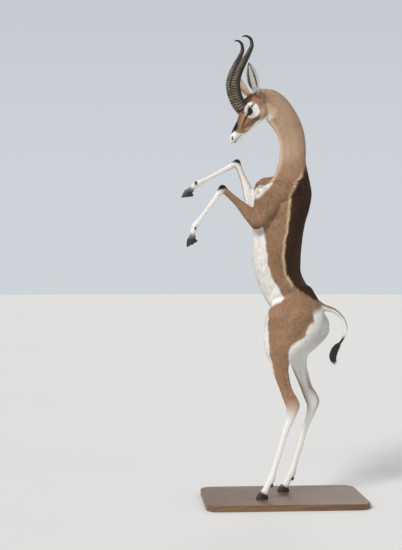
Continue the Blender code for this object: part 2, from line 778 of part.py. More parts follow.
def head_keep(points):
    """How much of the head's detail to keep: most round the eyes, the mouth and the nostrils."""
    keep = np.zeros(len(points))
    for side in (1, -1):
        eye = np.array((EYE_PLACE.x, side * (EYE_PLACE.y + EYE_RADIUS * 0.6), EYE_PLACE.z))
        nostril = [(x, side * y, z) for x, y, z in NOSTRIL_LINE]
        mouth = [(x, side * y, z) for x, y, z in MOUTH_LINE]
        keep = np.maximum(keep, np.clip(1.6 - np.linalg.norm(points - eye, axis=1) / 0.020, 0, 1))
        keep = np.maximum(keep, np.clip(1.4 - line_distance(points, nostril) / 0.008, 0, 1))
        keep = np.maximum(keep, np.clip(1.4 - line_distance(points, mouth) / 0.008, 0, 1))
    muzzle = 0.45 * np.clip((points[:, 0] - 0.225) / 0.02, 0, 1)
    keep = np.maximum(keep, muzzle)
    return keep


def eyeball(radius, side, segments=18, rings=10):
    """A ball at one eye, in the head's frame."""
    shape = bmesh.new()
    place = Matrix.Translation((EYE_PLACE.x, side * EYE_PLACE.y, EYE_PLACE.z))
    matrix = place @ Matrix.Rotation(math.pi / 2, 4, "X")
    bmesh.ops.create_uvsphere(shape, u_segments=segments, v_segments=rings, radius=radius, matrix=matrix)
    return mesh_object("eyeball", shape)


def lid_opening(side):
    """The almond between the lids, as a cutter that runs out of the socket."""
    shape = bmesh.new()
    rim = [Vector((p.x, side * p.y, p.z)) for p in lid_points(1.0)]
    out = Vector((0, side * 0.04, 0))
    wider = [p + out + (p - rim[0].lerp(rim[8], 0.5)) * 0.25 for p in rim]
    add_rings(shape, [rim, wider])
    return mesh_object("opening", shape)


def mouth_blade():
    """A thin blade that parts the lips, from one corner of the mouth round the tip to the other."""
    left = [Vector(point) for point in MOUTH_LINE]
    line = [mirrored(point) for point in reversed(left)] + left[1:]
    shape = bmesh.new()
    rings = []
    for k, point in enumerate(line):
        way = line[min(k + 1, len(line) - 1)] - line[max(k - 1, 0)]
        out = Vector((way.y, -way.x, 0.0)).normalized()
        thick = Vector((0.0, 0.0, LIP_GAP / 2 if 0 < k < len(line) - 1 else LIP_GAP / 4))
        inner, outer = point - out * LIP_DEPTH, point + out * LIP_MARGIN
        rings.append([inner - thick / 4, outer - thick, outer + thick, inner + thick / 4])
    add_rings(shape, rings)
    return mesh_object("blade", shape)


def nostril_slit(side):
    """A slanting slit that opens one nostril, as a cutter."""
    line = [Vector((x, side * y, z)) for x, y, z in NOSTRIL_LINE]
    outward = Vector((0.5, side * 0.8, 0.15)).normalized()
    across = (line[-1] - line[0]).normalized().cross(outward)
    shape = bmesh.new()
    rings = []
    for point, wide in zip(line, NOSTRIL_WIDTHS):
        deep, half = outward * NOSTRIL_CUT, across * (wide / 2)
        rings.append([point - deep, point - half, point + deep, point + half])
    add_rings(shape, rings)
    return mesh_object("slit", shape)


def placed_line(line, side, matrix):
    """A line of the head's left side, on this side and in the animal's frame."""
    return [matrix @ Vector((x, side * y, z)) for x, y, z in line]


def make_head():
    """The head with its neck-side cut, sockets, mouth and nostrils, and a copy without the cuts."""
    matrix = head_matrix()
    shape = bmesh.new()
    add_head(shape)
    bmesh.ops.transform(shape, matrix=matrix, verts=shape.verts)
    add_loft(shape, midline_rows(TRUNK[13:]), 0.010, 28)
    head = mesh_object("head", shape)
    fuse(head, HEAD_VOXEL)
    relax(head.data, 20)
    for side in (1, -1):
        press(head.data, placed_line(MOUTH_LINE, side, matrix), MOUTH_REACH, MOUTH_DEPTH)
        press(head.data, placed_line(NOSTRIL_LINE, side, matrix), NOSTRIL_REACH, NOSTRIL_DEPTH)
    local = np.array(matrix.inverted())
    points = coordinates(head.data) @ local[:3, :3].T + local[:3, 3]
    thin_out(head, HEAD_TRIANGLES, head_keep(points))
    whole = linked_copy(head)
    features = [mouth_blade()]
    for side in (1, -1):
        features.append(eyeball(EYE_RADIUS + TOUCH_GAP, side))
        features.append(lid_opening(side))
        features.append(nostril_slit(side))
    for feature in features:
        feature.data.transform(matrix)
    boolean(head, features + [slab(NAPE, NAPE_NORMAL, NAPE_DISC)], "DIFFERENCE")
    return largest_piece(head, "head"), whole


def linked_copy(obj):
    """A second object with a mesh of its own."""
    copy = bpy.data.objects.new(obj.name + "_copy", obj.data.copy())
    bpy.context.scene.collection.objects.link(copy)
    return copy


def grown_copy(obj, gap=ROOT_GAP):
    """A copy of an object with its surface moved out by the gap."""
    copy = linked_copy(obj)
    points = coordinates(copy.data)
    normals = np.empty(len(points) * 3)
    copy.data.vertices.foreach_get("normal", normals)
    points += gap * normals.reshape(-1, 3)
    copy.data.vertices.foreach_set("co", points.ravel())
    copy.data.update()
    return copy


def trimmed(obj, root, name):
    """Cuts an object back to just clear of what it grows from, and keeps its largest piece."""
    boolean(obj, [grown_copy(root), linked_copy(root)], "DIFFERENCE")
    return largest_piece(obj, name)


def make_ear(side):
    """A cupped ear in the head's frame: a rolled base that opens into a pointed leaf."""
    axis = Vector((EAR_LEAN[0], side * EAR_LEAN[1], EAR_LEAN[2])).normalized()
    facing = Vector((EAR_FACE[0], side * EAR_FACE[1], EAR_FACE[2]))
    facing = (facing - axis * facing.dot(axis)).normalized()
    across = axis.cross(facing)
    root = Vector((EAR_ROOT[0], side * EAR_ROOT[1], EAR_ROOT[2]))
    columns = 8
    shape = bmesh.new()
    rings = []
    for share, half, wrap, thick, sway in EAR_STATIONS:
        spine = root + axis * (share * EAR_LENGTH) + facing * sway
        reach = half * EAR_WIDTH / math.radians(wrap)
        ring = []
        for face, order in ((0.5, range(columns + 1)), (-0.5, range(columns, -1, -1))):
            for k in order:
                a = math.radians(wrap) * (2 * k / columns - 1)
                edge = 1 - 0.55 * abs(2 * k / columns - 1) ** 3
                radius = reach + face * thick * edge
                bow = facing * (reach - radius * math.cos(a))
                ring.append(spine + bow + across * (radius * math.sin(a)))
        rings.append(ring)
    add_rings(shape, rings)
    return mesh_object("ear", shape)


def horn_rows(side, count):
    """Centres and directions along a horn's curve, evenly spaced."""
    rows = [(x, side * y, z, x, side * y, z, 0.0, 0.0) for x, y, z in HORN_CURVE]
    length = sum((Vector(a) - Vector(b)).length for a, b in zip(HORN_CURVE, HORN_CURVE[1:]))
    centres = smooth_rows(rows, length / count)[:, 0:3]
    return centres, unit(np.gradient(centres, axis=0))


def horn_radius(share):
    """A horn's radius at a share of its length, without the rings."""
    return HORN_RADIUS * (1 - share**1.35) ** 0.62 * (1 - 0.16 * share) + 0.0012


def make_horn(side):
    """An S-curved horn with raised rings round its lower two thirds, in the head's frame."""
    steps = 420
    centres, ways = horn_rows(side, steps)
    shares = [(0.0, 0.0)]
    for ring in range(HORN_RINGS):
        start = HORN_ROOT + (HORN_RINGED - HORN_ROOT) * (ring / HORN_RINGS) ** 0.94
        end = HORN_ROOT + (HORN_RINGED - HORN_ROOT) * ((ring + 1) / HORN_RINGS) ** 0.94
        shares.extend([(start, 0.0), (start + (end - start) * 0.6, 1.0)])
    smooth = [HORN_RINGED + (1 - HORN_RINGED) * k / 9 for k in range(10)]
    shares.extend([(share, 0.0) for share in smooth[:-1]] + [(0.994, 0.0)])
    sides = 10
    shape = bmesh.new()
    rings = []
    for share, ridge in shares:
        index = min(int(share * (steps - 1)), steps - 1)
        centre, way = Vector(centres[index]), Vector(ways[index])
        broad = Vector((0, side, 0))
        broad = (broad - way * broad.dot(way)).normalized()
        deep = way.cross(broad)
        radius = horn_radius(share)
        ring = []
        for k in range(sides):
            a = 2 * math.pi * k / sides
            fade = 1 - share / (HORN_RINGED * 1.15)
            swell = ridge * HORN_RIDGE * (0.45 + 0.55 * fade) * (0.75 + 0.25 * math.cos(a))
            across = (radius * 0.84 + swell) * math.sin(a)
            ahead = (radius + swell) * math.cos(a)
            ring.append(centre + broad * across + deep * ahead * side)
        rings.append(ring)
    add_rings(shape, rings)
    return mesh_object("horn", shape)


def claw_profile(height):
    """Where a claw's outline lies at a height of 0 (sole) to 1 (coronet): heel, toe, width."""
    heel = HOOF_HEEL - 0.0030 * math.sin(math.pi * min(height * 1.3, 1))
    toe = HOOF_TOE + (CORONET_FRONT - HOOF_TOE) * height
    width = CLAW_WIDTH * (0.90 + 0.10 * height)
    return heel, toe, width


def make_claw(matrix, half):
    """One claw of a cloven hoof: a flat sole, a straight cleft side and a rounded outer wall."""
    count = 14
    shape = bmesh.new()
    rings = []
    for height in (0.0, 0.12, 0.5, 1.0):
        heel, toe, width = claw_profile(height)
        tuck = 0.0016 if height == 0.0 else 0.0
        ring = []
        for k in range(count):
            a = 2 * math.pi * k / count
            share = (1 + math.cos(a)) / 2
            x = heel + tuck + (toe - heel - 2 * tuck) * share
            bulge = math.sin(a) * width / 2 * (1 - 0.55 * share**2.2)
            y = half * (CLEFT / 2 + width / 2 + (bulge - tuck if bulge > 0 else bulge * 0.92))
            y += half * 0.0022 * share * (1 - height)
            top = CORONET_PLACE.z + (x - CORONET_PLACE.x) * math.tan(CORONET_SLOPE) - TOUCH_GAP * 1.2
            ring.append(Vector((x, y, height * top)))
        rings.append(ring)
    add_rings(shape, rings)
    claw = mesh_object("claw", shape)
    claw.data.transform(matrix)
    return claw


def make_dewclaw(matrix, half, hind):
    """A small false hoof behind the fetlock."""
    place = Vector(DEWCLAW_HIND if hind else DEWCLAW_FORE)
    shape = bmesh.new()
    lean = Matrix.Rotation(math.radians(-30), 4, "Y")
    place.y *= half
    matrix = matrix @ Matrix.Translation(place) @ lean @ Matrix.Diagonal((0.0075, 0.0055, 0.0100, 1))
    bmesh.ops.create_uvsphere(shape, u_segments=8, v_segments=5, radius=1.0, matrix=matrix)
    return mesh_object("dewclaw", shape)


def tuft_frame(share, turn):
    """A place on the tuft's axis, the way it runs there, and a direction square to it."""
    rows = [(x, 0.0, z, x, 0.0, z, 0.0, 0.0) for x, z in TUFT]
    centres = smooth_rows(rows, 0.001)[:, 0:3]
    index = min(int(share * (len(centres) - 1)), len(centres) - 2)
    centre = Vector(centres[index])
    way = (Vector(centres[index + 1]) - centre).normalized()
    side = Vector((0, 1, 0))
    out = side * math.sin(turn) + way.cross(side) * math.cos(turn)
    return centre, way, out


def tuft_reach(share):
    """How far the hair stands from the tuft's axis: narrow at the root, fullest past halfway."""
    return TUFT_WIDTH / 2 * (0.34 + 0.66 * math.sin(math.pi * min(share * 0.93 + 0.02, 1.0)) ** 0.8)


def add_lock(start, length, turn, draw):
    """One flat tapered lock of the tuft, rooted in its core and bending in towards the tip."""
    drift = draw.uniform(-0.35, 0.35)
    lift = draw.uniform(0.62, 0.95)
    shape = bmesh.new()
    rings = []
    for step, (width, thick) in enumerate(LOCK_BULK):
        share = step / (len(LOCK_BULK) - 1)
        centre, way, out = tuft_frame(min(start + length * share, 1.0), turn + drift * share)
        rise = min(share * 1.8, 1.0)
        reach = tuft_reach(min(start + length * share, 1.0)) * lift * rise + 0.001
        across = way.cross(out)
        middle = centre + out * reach
        if start + length * share > 1.0:
            middle += way * (start + length * share - 1.0) * TUFT_LENGTH
        half, deep = across * LOCK_WIDTH * width / 2, out * LOCK_THICK * thick / 2
        rings.append([middle - half, middle - deep, middle + half, middle + deep])
    add_rings(shape, rings)
    return mesh_object("lock", shape)


def make_tuft():
    """The black tuft at the tail's end: flat overlapping locks in tiers on a short core."""
    shape = bmesh.new()
    core = [(x, z, radius) for (x, z), radius in zip(TUFT, TUFT_CORE)]
    add_loft(shape, tail_rows(core), 0.010, 10)
    tuft = mesh_object("tail_tuft", shape)
    draw = random.Random(SEED)
    locks = []
    for tier, (start, length, count) in enumerate(TUFT_TIERS):
        for k in range(count):
            turn = 2 * math.pi * (k + 0.5 * (tier % 2)) / count + draw.uniform(-0.2, 0.2)
            root, reach = start + draw.uniform(-0.02, 0.02), length * draw.uniform(0.9, 1.1)
            locks.append(add_lock(root, reach, turn, draw))
    boolean(tuft, locks, "UNION")
    behind = TAIL_END - TAIL_END_NORMAL * (TAIL_BLOCK / 2 - TOUCH_GAP)
    block = slab(behind, TAIL_END_NORMAL, TAIL_DISC, TAIL_BLOCK)
    boolean(tuft, [block], "DIFFERENCE")
    return largest_piece(tuft, "tail_tuft")


def make_base():
    """The flat base with rounded corners and a softened upper edge."""
    shape = bmesh.new()
    outline = []
    for corner, (sx, sy) in enumerate(((1, 1), (-1, 1), (-1, -1), (1, -1))):
        centre = Vector((sx * (BASE_LENGTH / 2 - BASE_CORNER), sy * (BASE_WIDTH / 2 - BASE_CORNER), 0))
        for k in range(5):
            a = math.pi / 2 * (corner + k / 4)
            outline.append((centre, Vector((math.cos(a), math.sin(a), 0)) * BASE_CORNER))
    soft = 0.006
    levels = [(0.0, 0.0), (BASE_HEIGHT - soft, 0.0)]
    for k in (1, 2):
        a = math.pi / 4 * k
        levels.append((BASE_HEIGHT - soft + soft * math.sin(a), soft * (1 - math.cos(a))))
    rings = []
    for height, inset in levels:
        rings.append([c + r * (1 - inset / BASE_CORNER) + Vector((0, 0, height)) for c, r in outline])
    add_rings(shape, rings)
    return mesh_object("stand_base", shape)


def material(name, colour, roughness, metallic=0.0):
    made = bpy.data.materials.get(name) or bpy.data.materials.new(name)
    made.diffuse_color = (*colour, 1)
    made.use_nodes = True
    shader = made.node_tree.nodes["Principled BSDF"]
    shader.inputs["Base Color"].default_value = (*colour, 1)
    shader.inputs["Roughness"].default_value = roughness
    shader.inputs["Metallic"].default_value = metallic
    return made


def finish_piece(obj, animal, name, colour, roughness, crease=50):
    """Names a finished piece, gives it its material and sets it on the animal's empty."""
    obj.name = name
    obj.data.materials.clear()
    obj.data.materials.append(material(name, colour, roughness))
    obj.data.shade_smooth()
    obj.data.set_sharp_from_angle(angle=math.radians(crease))
    obj.parent = animal


def main():
    clear_scene()
    animal = bpy.data.objects.new("animal", None)
    animal.location = (0, 0, BASE_HEIGHT + TOUCH_GAP)
    bpy.context.scene.collection.objects.link(animal)
    base = make_base()
    finish_piece(base, None, "stand_base", WOOD, 0.45, 40)

    matrix = head_matrix()
    pieces = make_body()
    head, whole_head = make_head()
    finish_piece(head, animal, "head", FAWN, 0.8)
    for side, mark in ((1, "l"), (-1, "r")):
        for make, kind, colour, roughness in (
            (make_ear, "ear_", FAWN, 0.8),
            (make_horn, "horn_", HORN, 0.45),
        ):
            piece = make(side)
            piece.data.transform(matrix)
            piece = trimmed(piece, whole_head, kind + mark)
            finish_piece(piece, animal, kind + mark, colour, roughness)
        eye = eyeball(EYE_RADIUS, side)
        eye.data.transform(matrix)
        finish_piece(eye, animal, "eye_" + mark, BLACK, 0.1)
    bpy.data.objects.remove(whole_head)

    feet = foot_matrices()
    for (place, mark), foot in feet.items():
        for half, which in ((1, "inner"), (-1, "outer")):
            turned = half if mark == "l" else -half
            claw = make_claw(foot, -turned)
            finish_piece(claw, animal, f"{place}_claw_{mark}_{which}", BLACK, 0.4, 35)
            dewclaw = make_dewclaw(foot, -turned, place == "hind")
            dewclaw = trimmed(dewclaw, pieces[f"{place}_pastern_{mark}"], "dewclaw")
            finish_piece(dewclaw, animal, f"{place}_dewclaw_{mark}_{which}", BLACK, 0.4)

    for name, piece in pieces.items():
        pale = "cannon" in name or "pastern" in name or name.startswith("thigh")
        finish_piece(piece, animal, name, WHITE if pale else FAWN, 0.8)
    finish_piece(make_tuft(), animal, "tail_tuft", BLACK, 0.7)


if __name__ == "__main__":
    main()
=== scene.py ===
import math
import random

import bmesh
import bpy
import numpy as np
from mathutils import Euler, Matrix, Vector


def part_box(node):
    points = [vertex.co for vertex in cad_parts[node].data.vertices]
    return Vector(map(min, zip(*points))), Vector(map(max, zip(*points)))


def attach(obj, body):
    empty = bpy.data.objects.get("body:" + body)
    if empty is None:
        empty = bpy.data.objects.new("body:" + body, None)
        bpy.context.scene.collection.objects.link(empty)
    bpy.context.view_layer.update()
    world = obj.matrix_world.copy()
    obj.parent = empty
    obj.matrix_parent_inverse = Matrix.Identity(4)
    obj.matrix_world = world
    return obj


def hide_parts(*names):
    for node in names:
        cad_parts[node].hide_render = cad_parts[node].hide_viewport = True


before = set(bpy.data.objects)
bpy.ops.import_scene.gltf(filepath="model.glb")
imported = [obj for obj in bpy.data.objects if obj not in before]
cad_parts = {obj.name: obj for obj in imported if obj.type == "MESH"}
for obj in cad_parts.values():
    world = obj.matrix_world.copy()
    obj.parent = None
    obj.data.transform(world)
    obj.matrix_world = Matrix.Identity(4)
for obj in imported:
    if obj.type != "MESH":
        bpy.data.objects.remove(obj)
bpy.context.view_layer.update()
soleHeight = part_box("stand_base")[1].z + 0.0003  # the hooves stand just clear of the base

fleshNodes = ["torso", "neck", "head", "ear_l", "ear_r", "tail"]
for mark in "lr":
    for part in ("thigh", "shank", "hind_cannon", "hind_pastern", "forearm", "fore_cannon", "fore_pastern"):
        fleshNodes.append(f"{part}_{mark}")


# Small helpers for curves, lofts and meshes

def unit(vectors):
    return vectors / np.maximum(np.linalg.norm(vectors, axis=-1, keepdims=True), 1e-12)


def ease(values, start, end):  # 0 before start, 1 after end, smooth between
    share = np.clip((values - start) / (end - start), 0.0, 1.0)
    return share * share * (3 - 2 * share)


def bell(values, middle, width):
    return np.exp(-(((values - middle) / width) ** 2))


def smoothRows(rows, spacing):  # rows read off one smooth curve through the stations
    rows = np.array(rows, float)
    middle = (rows[:, 0:3] + rows[:, 3:6]) / 2
    steps = np.linalg.norm(np.diff(middle, axis=0), axis=1)
    knots = np.concatenate([[0.0], np.cumsum(steps)])
    slopes = np.gradient(rows, knots, axis=0)
    at = np.linspace(0, knots[-1], max(4, round(knots[-1] / spacing)))
    first = np.clip(np.searchsorted(knots, at, side="right") - 1, 0, len(knots) - 2)
    span = (knots[first + 1] - knots[first])[:, None]
    u = (at[:, None] - knots[first][:, None]) / span
    return (
        (2 * u**3 - 3 * u**2 + 1) * rows[first]
        + (u**3 - 2 * u**2 + u) * span * slopes[first]
        + (3 * u**2 - 2 * u**3) * rows[first + 1]
        + (u**3 - u**2) * span * slopes[first + 1]
    )


def addRings(shape, rings):  # a closed tube through rings of points, a fan at each end
    corners = [[shape.verts.new(point) for point in ring] for ring in rings]
    sides = len(corners[0])
    for one, other in zip(corners, corners[1:]):
        for i in range(sides):
            j = (i + 1) % sides
            shape.faces.new((one[i], one[j], other[j], other[i]))
    for ring, turned in ((corners[0], True), (corners[-1], False)):
        pole = shape.verts.new(sum((v.co for v in ring), Vector()) / sides)
        for i in range(sides):
            pair = (ring[(i + 1) % sides], ring[i])
            shape.faces.new((pair if turned else pair[::-1]) + (pole,))


def addLoft(shape, rows, spacing=0.008, sides=48, matrix=None):
    # each row: front point, back point, half width, and how much wider the back half is
    rows = smoothRows(rows, spacing)
    front, back, width, egg = rows[:, 0:3], rows[:, 3:6], rows[:, 6], rows[:, 7]
    middle, half = (front + back) / 2, (back - front) / 2
    along = unit(np.gradient(middle, axis=0))
    side = unit(np.cross(along, half))
    angle = np.arange(sides) * 2 * math.pi / sides

    def ring(i, scale, shift):
        around = -np.cos(angle)[:, None] * half[i]
        across = (np.sin(angle) * width[i] * (1 - egg[i] * np.cos(angle)))[:, None] * side[i]
        points = middle[i] + shift * along[i] + scale * (around + across)
        return [matrix @ Vector(p) for p in points] if matrix else points

    rings = [ring(i, 1.0, 0.0) for i in range(len(rows))]
    for turn in (30, 60, 80):  # domed ends, by degrees
        sink, rise = math.cos(math.radians(turn)), math.sin(math.radians(turn))
        rings.insert(0, ring(0, sink, -rise * width[0]))
        rings.append(ring(-1, sink, rise * width[-1]))
    addRings(shape, rings)


def addBall(shape, centre, radii, matrix):
    placed = matrix @ Matrix.Translation(centre) @ Matrix.Diagonal((*radii, 1))
    bmesh.ops.create_icosphere(shape, subdivisions=4, radius=1.0, matrix=placed)


def meshObject(name, shape):
    bmesh.ops.recalc_face_normals(shape, faces=shape.faces)
    mesh = bpy.data.meshes.new(name)
    shape.to_mesh(mesh)
    shape.free()
    obj = bpy.data.objects.new(name, mesh)
    bpy.context.scene.collection.objects.link(obj)
    return obj


def settle(obj):  # applies the modifiers
    graph = bpy.context.evaluated_depsgraph_get()
    mesh = bpy.data.meshes.new_from_object(obj.evaluated_get(graph))
    obj.modifiers.clear()
    obj.data = mesh


def fuse(obj, voxel):
    modifier = obj.modifiers.new("Fuse", "REMESH")
    modifier.mode = "VOXEL"
    modifier.voxel_size = voxel
    settle(obj)


def gather(items, name, width=1, kind=float):  # one property of every item, as an array
    values = np.empty(len(items) * width, kind)
    items.foreach_get(name, values)
    return values.reshape(-1, width) if width > 1 else values


def coordinates(mesh):
    return gather(mesh.vertices, "co", 3)


def vertexNormals(mesh):
    return gather(mesh.vertices, "normal", 3)


def faceCentres(mesh):
    return gather(mesh.polygons, "center", 3)


def setCoordinates(mesh, points):
    mesh.vertices.foreach_set("co", points.ravel())
    mesh.update()


def relax(mesh, rounds, weight=None, pulls=(0.55, -0.57)):
    # smooths where the weight is, and the second pull takes back what the first one shrinks
    points = coordinates(mesh)
    ends = gather(mesh.edges, "vertices", 2, int)
    count = np.bincount(ends.ravel(), minlength=len(points))[:, None]
    weight = 1.0 if weight is None else weight[:, None]
    for _ in range(rounds):
        for pull in pulls:
            total = np.empty_like(points)
            for axis in range(3):
                total[:, axis] = np.bincount(ends[:, 0], points[ends[:, 1], axis], len(points))
                total[:, axis] += np.bincount(ends[:, 1], points[ends[:, 0], axis], len(points))
            points += pull * weight * (total / count - points)
    setCoordinates(mesh, points)


def lineShares(line):  # the share of a line's length at each of its points
    steps = np.linalg.norm(np.diff(line, axis=0), axis=1)
    return np.concatenate([[0.0], np.cumsum(steps)]) / steps.sum()


def nearest(points, start, end):  # one stretch of a line: its way, the share reached and the offset from it
    way = end - start
    share = np.clip((points - start) @ way / (way @ way), 0, 1)
    return way, share, points - start - share[:, None] * way


def lineDistance(points, line):  # distance to a line, and the share of its length reached
    line = np.array(line, float)
    knots = lineShares(line)
    best = np.full(len(points), np.inf)
    reached = np.zeros(len(points))
    for k in range(len(line) - 1):
        _, share, offset = nearest(points, line[k], line[k + 1])
        distance = np.linalg.norm(offset, axis=1)
        closer = distance < best
        best[closer] = distance[closer]
        reached[closer] = (knots[k] + share * (knots[k + 1] - knots[k]))[closer]
    return best, reached


def beyondLine(points, line):  # signed distance in the side view, positive behind a line that runs down
    line = np.array(line, float)
    best = np.full(len(points), np.inf)
    sign = np.zeros(len(points))
    for start, end in zip(line, line[1:]):
        way, _, offset = nearest(points, start, end)
        distance = np.linalg.norm(offset, axis=1)
        closer = distance < best - 1e-9
        best[closer] = distance[closer]
        sign[closer] = np.sign(offset[:, 0] * -way[1] + offset[:, 1] * way[0])[closer]
    return best * sign


def storeField(mesh, name, values, kind="FLOAT", domain="POINT"):
    field = mesh.attributes.new(name, kind, domain)
    label = "vector" if kind in ("FLOAT_VECTOR", "FLOAT2") else "value"
    field.data.foreach_set(label, np.asarray(values).ravel())


def dropFields(mesh, names):
    for name in names:
        if name in mesh.attributes:
            mesh.attributes.remove(mesh.attributes[name])


def finishPiece(obj, slot, *replaced, material=None):
    # moves a piece up onto the base, shades it and sets it on the body
    if material:
        obj.data.materials.append(material)
    obj.data.transform(Matrix.Translation((0, 0, soleHeight)))
    obj.data.shade_smooth()
    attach(obj, "root")
    if replaced:
        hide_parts(*replaced)


# Node helpers: a wrapped socket does its own maths, and one method makes any node

class Wire:
    def __init__(self, tree, socket):
        self.tree = tree
        self.socket = socket

    def maths(self, operation, *others):
        return Maker(self.tree).operate("ShaderNodeMath", operation, self, *others)

    def __add__(self, other):
        return self.maths("ADD", other)

    def __sub__(self, other):
        return self.maths("SUBTRACT", other)

    def __rsub__(self, other):
        return Maker(self.tree).operate("ShaderNodeMath", "SUBTRACT", other, self)

    def __mul__(self, other):
        return self.maths("MULTIPLY", other)

    def __truediv__(self, other):
        return self.maths("DIVIDE", other)

    def __pow__(self, other):
        return self.maths("POWER", other)

    __radd__ = __add__
    __rmul__ = __mul__

    def clamp(self):
        return self.maths("MINIMUM", 1.0).maths("MAXIMUM", 0.0)

    def ease(self, start, end):  # 0 before start, 1 after end, smooth between
        share = ((self - start) / (end - start)).clamp()
        return share * share * (3 - 2 * share)


class Maker:
    def __init__(self, tree):
        self.tree = tree

    def node(self, kind, settings=None, **values):
        made = self.tree.nodes.new(kind)
        for name, value in (settings or {}).items():
            setattr(made, name, value)
        for name, value in values.items():
            self.put(made, name, value)
        return made

    def put(self, made, name, value):
        label = name.replace("_", " ").lower()
        self.feed(next(s for s in made.inputs if s.name.lower() == label and s.enabled), value)

    def feed(self, socket, value):
        if isinstance(value, Wire):
            self.tree.links.new(value.socket, socket)
        elif socket.type == "RGBA" and len(value) == 3:
            socket.default_value = (*value, 1)
        else:
            socket.default_value = value

    def out(self, made, name=None):
        found = (s for s in made.outputs if s.enabled and (name is None or s.name.lower() == name.lower()))
        return Wire(self.tree, next(found))

    def wire(self, kind, settings=None, output=None, **values):  # a new node's output
        return self.out(self.node(kind, settings, **values), output)

    def operate(self, kind, operation, *values):
        made = self.node(kind, {"operation": operation})
        for socket, value in zip([s for s in made.inputs if s.enabled], values):
            self.feed(socket, value)
        return self.out(made)

    def vector(self, operation, *values):
        return self.operate("ShaderNodeVectorMath", operation, *values)

    def scaled(self, vector, factor):
        made = self.node("ShaderNodeVectorMath", {"operation": "SCALE"}, Vector=vector, Scale=factor)
        return self.out(made)

    def combined(self, x=0.0, y=0.0, z=0.0):
        return self.wire("ShaderNodeCombineXYZ", X=x, Y=y, Z=z)

    def mix(self, factor, one, other, blend="MIX"):
        settings = {"data_type": "RGBA", "blend_type": blend}
        return self.wire("ShaderNodeMix", settings, Factor=factor, A=one, B=other, output="Result")

    def read(self, name, output="Fac"):  # an attribute in a shader
        return self.wire("ShaderNodeAttribute", {"attribute_name": name}, output=output)

    def noise(self, vector, scale, detail=3.0, roughness=0.5, **others):
        values = {"Vector": vector, "Scale": scale, "Detail": detail, "Roughness": roughness, **others}
        return self.wire("ShaderNodeTexNoise", **values)

    def stretched(self, scale):  # Object coordinates, stretched by a Mapping node
        place = self.wire("ShaderNodeTexCoord", output="Object")
        return self.wire("ShaderNodeMapping", Vector=place, Scale=scale)

    def field(self, name, kind="FLOAT"):  # an attribute in a geometry tree
        made = self.node("GeometryNodeInputNamedAttribute", {"data_type": kind}, Name=name)
        return self.out(made, "Attribute")

    def stored(self, geometry, name, value, kind="FLOAT", domain="POINT"):
        settings = {"data_type": kind, "domain": domain}
        values = {"Geometry": geometry, "Name": name, "Value": value}
        return self.wire("GeometryNodeStoreNamedAttribute", settings, **values)


class Finish(Maker):  # a material in the making
    def __init__(self, name, sheen=0.0, coat=0.0, specular=0.5):
        self.material = bpy.data.materials.new(name)
        self.material.use_nodes = True
        super().__init__(self.material.node_tree)
        self.shader = self.tree.nodes["Principled BSDF"]
        for label, value in (
            ("Sheen Weight", sheen), ("Sheen Roughness", 0.5), ("Coat Weight", coat),
            ("Coat Roughness", 0.06), ("Specular IOR Level", specular),
        ):
            self.put(self.shader, label, value)

    def done(self, colour, roughness, height=None, strength=0.0, distance=0.0):
        self.put(self.shader, "Base Color", colour)
        self.put(self.shader, "Roughness", roughness)
        if height:
            raised = self.node("ShaderNodeBump", Strength=strength, Distance=distance, Height=height)
            self.put(self.shader, "Normal", self.out(raised))
        return self.material


# The body: stations of the trunk and limbs in the animal's own frame, its soles at z = 0.
# Each trunk station: belly side (x, z), back side (x, z), half width, egg shape
bodySizes = {
    "voxel": 0.004,
    "rounds": 50,
    "stride": 0.130,  # how far the right hind leg stands behind the left
    "planted": 0.45,  # the stride's shift is whole below this height and gone at the hip
    "hip": 0.96,
    "blends": [(0.035, 0.050, 1.575, 0.075), (0.115, 0.045, 1.035, 0.070)],  # x, y, z, reach
    "blendRounds": 60,
    "tendonInset": 0.0045,
    "tendonReach": 0.0034,
    "tendonDepth": 0.0015,
}
trunk = [
    ((0.085, 0.800), (0.205, 0.915), 0.040, 0.0),
    ((-0.005, 0.870), (0.168, 0.990), 0.078, 0.0),
    ((-0.070, 0.945), (0.122, 1.052), 0.094, 0.0),
    ((-0.122, 1.045), (0.092, 1.112), 0.096, -0.05),
    ((-0.150, 1.145), (0.090, 1.175), 0.107, -0.05),
    ((-0.156, 1.245), (0.096, 1.255), 0.112, 0.0),
    ((-0.152, 1.345), (0.112, 1.355), 0.106, 0.10),
    ((-0.143, 1.425), (0.135, 1.435), 0.094, 0.10),
    ((-0.124, 1.490), (0.146, 1.505), 0.080, 0.05),
    ((-0.090, 1.545), (0.138, 1.562), 0.066, 0.0),
    ((-0.050, 1.590), (0.127, 1.615), 0.055, 0.0),
    ((-0.029, 1.650), (0.117, 1.668), 0.051, 0.0),
    ((-0.019, 1.712), (0.117, 1.728), 0.047, 0.0),
    ((-0.020, 1.764), (0.111, 1.795), 0.045, 0.0),
    ((-0.037, 1.808), (0.090, 1.868), 0.044, 0.0),
    ((-0.060, 1.842), (0.052, 1.938), 0.043, 0.0),
    ((-0.084, 1.870), (0.003, 1.996), 0.042, 0.0),
    ((-0.106, 1.897), (-0.052, 2.028), 0.041, 0.0),
    ((-0.130, 1.926), (-0.105, 2.032), 0.037, 0.0),
]
